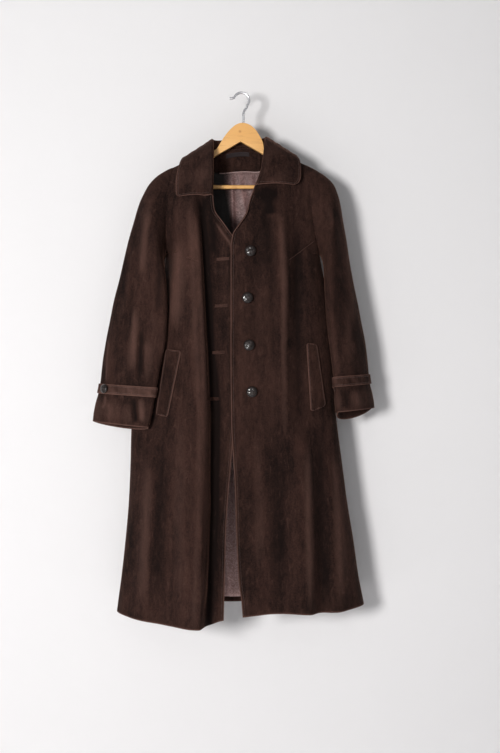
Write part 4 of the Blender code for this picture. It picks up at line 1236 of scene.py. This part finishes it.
weltForm = {"laidOn": 1.7, "cloth": 2.2, "rows": 80, "columns": 24, "round": 7}
welts = {
    "left": ((-167, -588), (-131, -593), (-162, -741), (-190, -735)),
    "right": ((147, -574), (171, -577), (191, -716), (156, -730)),
}


def frontSurface(side, x, z, out):
    # a place on a front's finished face by its x and z, with the direction out of it
    face, ups = panelFaces[side]
    flat = face.reshape(-1, 3)
    aims = ups.reshape(-1, 3)
    points, normals = [], []
    for px, pz in zip(np.ravel(x), np.ravel(z)):
        away = (flat[:, 0] - px) ** 2 + (flat[:, 2] - pz) ** 2
        near = np.argsort(away)[:6]
        weight = 1 / (away[near] + 0.3)
        weight = (weight / weight.sum())[:, None]
        up = unit((aims[near] * weight).sum(axis=0))
        depth = ((flat[near] * weight).sum(axis=0))[1]
        points.append(np.array((px, depth, pz)) + up * out)
        normals.append(up)
    shape = np.shape(x) + (3,)
    return np.array(points).reshape(shape), np.array(normals).reshape(shape)


def makeWelt(side):
    form = weltForm
    corners = np.array(welts[side], float)
    long = np.linalg.norm(corners[3] - corners[0])
    wide = np.linalg.norm(corners[1] - corners[0])
    v = withRims(np.linspace(0, 1, form["rows"]), long)[:, None]
    u = withRims(np.linspace(0, 1, form["columns"]), wide)[None, :]
    near = np.minimum(np.minimum(v, 1 - v) * long, form["round"])
    inset = (form["round"] - np.sqrt(form["round"] ** 2 - (form["round"] - near) ** 2)) / wide
    u = inset + u * (1 - 2 * inset)
    weights = ((1 - u) * (1 - v), u * (1 - v), u * v, (1 - u) * v)
    x = sum(w * c[0] for w, c in zip(weights, corners))
    z = sum(w * c[1] for w, c in zip(weights, corners))
    share = across(x, z)
    normals = bodyNormal("front", share, z)
    mid = bodyPoint("front", share, z) + normals * (form["laidOn"] + form["cloth"] / 2)
    puff = rumpled(x, z, 81, (40, 60), 0.25) + 0.7 * np.sin(math.pi * v) * np.sin(math.pi * u)
    mid = mid + normals * puff[..., None]
    piece = clothPiece("pocketWelt" + side.title(), mid, normals, form["cloth"])
    dress(piece, velvet, ["pocket_welt_viewer_" + side])
    outer = mid + normals * form["cloth"] / 2
    lines = []
    for axis, trim in ((1, (9, 9)), (0, (5, 5))):
        for end in (False, True):
            line, ups = lineFrom(outer, normals, axis, end, stitch["insideWelt"], stitch["lift"])
            lines.append(evenAlong(line, ups, stitch["pitch"], trim))
    return piece, sewn("weltStitches" + side.title(), lines)


collar = makeCollar()
pocketWelts = {side: makeWelt(side) for side in ("left", "right")}
print("collar and welts made")


# Front stitching, buttonholes and buttons

def frontStitches(side):
    face, ups = panelFaces[side]
    line, aims = lineFrom(face, ups, 1, side == "left", stitch["inside"], stitch["lift"])
    low = line[:, 2] < stitch["frontTop"][side]
    lines = [evenAlong(line[low], aims[low], stitch["pitch"])]
    return sewn("frontStitches" + side.title(), lines)


dartForm = {
    "left": ((-123, -381.6), (-94, -392.6)), "right": ((166, -342), (137, -365), (108, -388)),
    "radius": 0.6, "lights": {"left": 0.3, "right": 0.5},
}


def makeDart(side):
    # the seam of a dart, a little proud of the cloth, with a painted highlight along it
    line = np.array(dartForm[side], float)
    share = np.linspace(0, 1, 30)
    at = np.linspace(0, 1, len(line))
    x, z = (np.interp(share, at, line[:, k]) for k in (0, 1))
    points, _ = frontSurface(side, x, z, 0)
    made = tube("dartSeam" + side.title(), points, dartForm["radius"], 8)
    # lights: the painted highlight on each dart seam
    addShade(made, dartForm["lights"][side])
    return dress(made, velvet)


buttonholes = {
    "places": ((-39.5, -386), (-43, -491), (-49.5, -596), (-62, -700)),
    "length": 28, "lip": 1.8, "gap": 3.4, "lights": (0.45, 0.36, 0.25, -0.1),
}


def makeButtonholes():
    form = buttonholes
    pieces = []
    for number, (x, z) in enumerate(form["places"], 1):
        along = np.linspace(x - form["length"] / 2, x + form["length"] / 2, 22)
        for lip, lift in (("Upper", form["gap"] / 2), ("Lower", -form["gap"] / 2)):
            bow = lift * (1 - 0.25 * ((along - x) / form["length"] * 2) ** 2)
            points, _ = frontSurface("left", along, z + bow + (along - x) * 0.03, 0.5)
            made = tube("buttonhole%s%d" % (lip, number), points, form["lip"])
            # painted highlight on the lips, weaker on the lower holes and a little shade on the last
            addShade(made, form["lights"][number - 1])
            pieces.append(dress(made, velvet))
    return pieces


sewnOn = {
    "radius": 12.4, "thick": 9.0, "gap": 0.9, "cuffRadius": 10.5, "weave": 0.9, "bands": 3,
    "shank": 0.24, "cuffWeaveTurn": 0.6,
    "places": ((21.5, -369), (15, -474), (18.5, -580), (24.5, -684)),
    "turns": (0.5, 0.15, -0.35, 0.9), "cuffTurn": {"left": 54, "right": -54},
}


def makeButton(name, node, place, normal, radius, turn):
    # a domed button of woven leather strips with a shank behind it
    form = sewnOn
    rings, spokes = 26, 64
    up = unit(np.asarray(normal, float))
    side = unit(np.cross((0, 0, 1), up))
    top = np.cross(up, side)
    centre = np.asarray(place) + up * (form["thick"] / 2 + form["gap"])
    points, weaveLightShade = [], []
    half = form["thick"] / 2
    reach = radius - 0.1

    def spot(a, r, rise):
        return centre + (side * math.cos(a) + top * math.sin(a)) * r * reach + up * rise

    for i in range(rings + 1):
        r = math.sin(math.pi / 2 * i / rings)
        for k in range(spokes):
            a = 2 * math.pi * k / spokes
            u, v = r * math.cos(a + turn), r * math.sin(a + turn)
            s, t = (u + 1) * form["bands"] / 2, (v + 1) * form["bands"] / 2
            over = math.sin(math.pi * (s - 0.5 + math.floor(t)))
            under = math.sin(math.pi * (t + 0.5 + math.floor(s)))
            bandA = abs(math.sin(math.pi * t)) ** 0.5 * (0.55 + 0.45 * over)
            bandB = abs(math.sin(math.pi * s)) ** 0.5 * (0.55 + 0.45 * under)
            weave = max(bandA, bandB) * form["weave"] * (1 - r ** 6)
            rise = (half - form["weave"]) * math.sqrt(max(1 - r * r, 0)) + weave
            points.append(spot(a, r, rise))
            # painted light on the raised strands and painted shade between them
            weaveLightShade.append(weave / form["weave"] - 0.5)
    for i in range(rings - 1, -1, -1):
        r = math.sin(math.pi / 2 * i / rings)
        for k in range(spokes):
            a = 2 * math.pi * k / spokes
            rise = -(half - 0.4) * math.sqrt(max(1 - r * r, 0))
            rise = rise if r > form["shank"] else -half - form["gap"] + 0.2
            points.append(spot(a, max(r, form["shank"]), rise))
            weaveLightShade.append(0)
    faces = gridFaces(2 * rings + 1, spokes, 0, True, False)
    faces.append([2 * rings * spokes + k for k in range(spokes)])
    piece = newPiece(name, points, faces)
    addShade(piece, weaveLightShade)
    weld = piece.modifiers.new("Weld", "WELD")
    weld.merge_threshold = 0.00002
    return dress(piece, leather, [node])


frontSewing = {side: frontStitches(side) for side in ("left", "right")}
holes = makeButtonholes()
darts = {side: makeDart(side) for side in ("left", "right")}
for number, ((x, z), turn) in enumerate(zip(sewnOn["places"], sewnOn["turns"]), 1):
    share = across(x, z)
    place = frontPoint("right", np.array([share]), np.array([z]))[0]
    up = bodyNormal("front", np.array([share]), np.array([z]))[0]
    makeButton("frontButton%d" % number, "button_%d" % number, place, up, sewnOn["radius"], turn)
for side in ("left", "right"):
    at = np.array([sum(sleeveForm["strapRings"]) / 2])
    turn = np.radians([sewnOn["cuffTurn"][side]])
    spot = sleevePoint(side, at, turn)[0]
    ahead = sleevePoint(side, at, turn + 0.05)[0]
    below = sleevePoint(side, at + 0.2, turn)[0]
    up = unit(np.cross(ahead - spot, below - spot))
    runs = sleeveRuns[side]
    centre = np.array([(runs["o" + k](at)[0] + runs["i" + k](at)[0]) / 2 for k in "xyz"])
    up = up if np.dot(up, spot - centre) > 0 else -up
    spot = spot + up * (sleeveForm["strapOut"] + sleeveForm["strapCloth"])
    makeButton("cuffButton" + side.title(), "cuff_button_viewer_" + side, spot, up,
               sewnOn["cuffRadius"], sewnOn["cuffWeaveTurn"])
print("stitching, buttonholes and buttons made")


# The hanger

hanger = {
    "thick": 12, "round": 4.2, "rest": 2.7, "left": -148, "right": 138, "domeLeft": -60,
    "domeRight": 52, "lobe": 20, "margin": 6, "underLeft": -184, "underRight": -178,
    "underTop": (-1, -110), "barRadius": 4.5, "barHeight": -214,
    "wire": 3.0, "hookRadius": 17.7, "centreX": 1, "stemX": 5.5, "stemLow": -67.0,
}
dome = ((-54, -125), (-48, -115), (-41, -103.5), (-32, -91), (-22, -80), (-11, -71.5), (1, -67.6),
        (13, -69), (24, -74.5), (34, -84), (42, -96), (48, -107), (51, -116))
hookStem = ((0, 0), (0, 12), (0, 22), (2.4, 29), (7.4, 35.5))


def shoulderInside(x):
    slope = np.arctan(np.abs(slopeOf(x + 1) - slopeOf(x - 1)) / 2)
    return coatForm["shoulder"] + slopeOf(x) - coatForm["cloth"] / np.cos(slope) - hanger["rest"]


def smoothLine(points, count, closed=False):
    # a smooth line through points, at even numbers of steps between them
    points = np.array(points, float)
    n = len(points)
    out = []
    for i in range(n if closed else n - 1):
        a, b = points[(i - 1) % n] if closed or i else points[0], points[i]
        c = points[(i + 1) % n]
        d = points[(i + 2) % n] if closed or i + 2 < n else points[-1]
        for f in np.arange(count) / count:
            out.append(smoothBetween(a, b, c, d, f))
    return out if closed else out + [points[-1]]


def makeHangerBody():
    h = hanger
    xs = np.linspace(h["left"] + 4, h["domeLeft"], 24)
    rise, fall = ((x, float(shoulderInside(x))) for x in (h["domeLeft"], h["domeRight"]))
    top = [(x, float(shoulderInside(x))) for x in xs]
    top += [tuple(p) for p in smoothLine((rise, *dome, fall), 4)[1:-1]]
    top += [(x, float(shoulderInside(x))) for x in np.linspace(h["domeRight"], h["right"] - 4, 24)]
    low = h["barHeight"] - h["barRadius"] - h["margin"]
    leftEnd = [(h["left"], top[0][1] - 6), (h["left"] + 1, low + 6), (h["left"] + 5, low)]
    rightEnd = [(h["right"] - 5, low), (h["right"] - 1, low + 6), (h["right"], top[-1][1] - 6)]
    innerLeft, innerRight = h["left"] + h["lobe"], h["right"] - h["lobe"]
    under = [(innerLeft - 4, low), (innerLeft, low + 5), (innerLeft, h["underLeft"]), h["underTop"],
             (innerRight, h["underRight"]), (innerRight, low + 5), (innerRight + 4, low)]
    outline = [*top, *rightEnd[::-1], *under[::-1], *leftEnd[::-1]]
    curve = bpy.data.curves.new("hangerOutline", "CURVE")
    curve.dimensions = "2D"
    curve.fill_mode = "BOTH"
    curve.extrude = h["thick"] / 2 * mm
    spline = curve.splines.new("POLY")
    spline.points.add(len(outline) - 1)
    for target, (x, z) in zip(spline.points, outline):
        target.co = (x * mm, z * mm, 0, 1)
    spline.use_cyclic_u = True
    shape = bpy.data.objects.new("hangerOutline", curve)
    bpy.context.scene.collection.objects.link(shape)
    flat = bpy.data.meshes.new_from_object(shape)
    bpy.data.objects.remove(shape)
    points = [(v.co.x / mm, -v.co.z / mm, v.co.y / mm) for v in flat.vertices]
    piece = newPiece("hangerBody", points, [tuple(p.vertices) for p in flat.polygons])
    weld = piece.modifiers.new("Weld", "WELD")
    weld.merge_threshold = 0.00001
    rounded = piece.modifiers.new("Bevel", "BEVEL")
    rounded.width = h["round"] * mm
    rounded.segments = 4
    rounded.limit_method = "ANGLE"
    rounded.angle_limit = math.radians(50)
    piece.data.set_sharp_from_angle(angle=math.radians(40))
    return dress(piece, wood, ["hanger_body"])


def makeHangerBar():
    h = hanger
    start, end = h["left"] + h["lobe"] - 4, h["right"] - h["lobe"] + 4
    points = [(x, 0, h["barHeight"]) for x in np.linspace(start, end, 40)]
    return dress(tube("hangerBar", points, h["barRadius"], 28), wood, ["hanger_bar"])


def makeHook():
    h = hanger
    points = [(h["stemX"] + x, 0, h["stemLow"] + z) for x, z in hookStem]
    points[0] = (points[0][0], 0, points[0][2] - 5)
    low = h["wire"] - h["hookRadius"]
    for turn in np.radians(np.linspace(-42, 156, 13)):
        points.append((h["centreX"] + h["hookRadius"] * math.cos(turn), 0,
                       low + h["hookRadius"] * math.sin(turn)))
    x, _, z = points[-1]
    points += [(x - 4.5, 0, z - 2.2), (x - 10.5, 0, z - 2.4)]
    return dress(tube("hangerHook", smoothLine(points, 8), h["wire"], 20),
                 chromeFinish(), ["hanger_hook"])


makeHangerBody()
makeHangerBar()
makeHook()
print("hanger made")


# What each sheet of cloth was cut to

def clothArea(piece):
    return sum(p.area for p in piece.data.polygons) / 2


# piece, flat width and length, area, what it rests on and what goes with it
sheets = (
    (frontLeft, (0.36, 1.08), 0.30, ["hanger_body", coatBack],
     [frontSewing["left"], darts["left"], *holes]),
    (frontRight, (0.36, 1.08), 0.30, ["hanger_body", coatBack],
     [frontSewing["right"], darts["right"]]),
    (coatBack, (0.66, 1.07), 0.60, ["hanger_body"], []),
    (backLining, (0.62, 1.0), 0.56, [coatBack], [piping]),
    (neckFacing, (0.105, 0.036), 0.0036, [coatBack], []),
    (neckLabel, (0.06, 0.012), None, [neckFacing], []),
    (sleeves["left"], (0.30, 0.61), 0.165, [frontLeft, coatBack], []),
    (sleeves["right"], (0.27, 0.60), 0.145, [frontRight, coatBack], []),
    (straps["left"][0], (0.29, 0.024), None, [sleeves["left"]], [straps["left"][1]]),
    (straps["right"][0], (0.24, 0.024), None, [sleeves["right"]], [straps["right"][1]]),
    (collar[0], (0.60, 0.115), 0.058, [coatBack, frontLeft, frontRight], [collar[1]]),
    (pocketWelts["left"][0], (0.037, 0.152), None, [frontLeft], [pocketWelts["left"][1]]),
    (pocketWelts["right"][0], (0.037, 0.152), None, [frontRight], [pocketWelts["right"][1]]),
)
for piece, flat, area, rests, extras in sheets:
    print("cloth", piece.name, "measures %.4f m2" % clothArea(piece))


# Floor, backdrop, lights and camera

studio = {
    "wallY": 0.092, "floorZ": -1.78, "half": 3.2, "top": 2.4, "frontY": -4.2, "bend": 0.25,
    "wall": (0.82, 0.81, 0.82),
}


def backdropFinish():
    # clear from behind, so that the coat can be seen from there too
    f = Finish("pale backdrop")
    soft = f.noise(f.place(), 2.0, 2, 0.5)
    dimmer = [c * 0.985 for c in studio["wall"]]
    f.set(Base_Color=f.blend(soft, studio["wall"], dimmer), Roughness=0.9, Specular_IOR_Level=0.1)
    clear = f.node("ShaderNodeBsdfTransparent")
    behind = f.node("ShaderNodeNewGeometry", {}, {}, "Backfacing")
    mixed = f.node("ShaderNodeMixShader", {}, {0: behind})
    mix = mixed.socket.node
    f.tree.links.new(f.shader.outputs[0], mix.inputs[1])
    f.tree.links.new(clear.socket, mix.inputs[2])
    f.tree.links.new(mix.outputs[0], f.tree.nodes["Material Output"].inputs["Surface"])
    return f.material


def makeBackdrop():
    s = studio
    profile = [(s["frontY"], s["floorZ"])]
    for turn in np.linspace(0, math.pi / 2, 14):
        profile.append((s["wallY"] - s["bend"] * (1 - math.sin(turn)),
                        s["floorZ"] + s["bend"] * (1 - math.cos(turn))))
    profile.append((s["wallY"], s["top"]))
    points, faces = [], []
    for y, z in profile:
        points += [(-s["half"] / mm, y / mm, z / mm), (s["half"] / mm, y / mm, z / mm)]
    for i in range(len(profile) - 1):
        faces.append([2 * i, 2 * i + 1, 2 * i + 3, 2 * i + 2])
    backdrop = newPiece("backdrop", points, faces)
    backdrop.data.materials.append(backdropFinish())


def makeLight(name, place, target, size, power, color):
    data = bpy.data.lights.new(name, "AREA")
    data.shape = "DISK"
    data.size = size
    data.energy = power
    data.color = color
    lamp = bpy.data.objects.new(name, data)
    lamp.location = place
    lamp.rotation_euler = (Vector(target) - Vector(place)).to_track_quat("-Z", "Y").to_euler()
    bpy.context.scene.collection.objects.link(lamp)


lights = {
    "key": ((-1.35, -3.2, -0.5), (-0.1, 0.0, -0.6), 0.75, 96, (1.0, 0.99, 0.975)),
    "fill": ((0.4, -3.6, 0.3), (0.0, 0.0, -0.7), 2.6, 8, (0.97, 0.985, 1.0)),
    "back": ((0.4, 3.2, 0.6), (0.0, 0.0, -0.6), 2.2, 190, (1.0, 1.0, 1.0)),
}
makeBackdrop()
for name, values in lights.items():
    makeLight(name, *values)
world = bpy.data.worlds.new("studio air")
world.use_nodes = True
world.node_tree.nodes["Background"].inputs["Color"].default_value = (1.0, 1.0, 1.0, 1.0)
world.node_tree.nodes["Background"].inputs["Strength"].default_value = 0.2
bpy.context.scene.world = world
bpy.context.scene.view_settings.view_transform = "Standard"

view = {"x": 0.0207, "away": 2.6, "z": -0.64975, "tall": 1.7319, "sensor": 36.0}
lens = bpy.data.cameras.new("front camera")
lens.sensor_fit = "VERTICAL"
lens.sensor_height = view["sensor"]
lens.lens = view["sensor"] * view["away"] / view["tall"]
camera = bpy.data.objects.new("front camera", lens)
camera.location = (view["x"], -view["away"], view["z"])
camera.rotation_euler = (math.pi / 2, 0, 0)
bpy.context.scene.collection.objects.link(camera)
bpy.context.scene.camera = camera
print("floor, backdrop, lights and camera made")
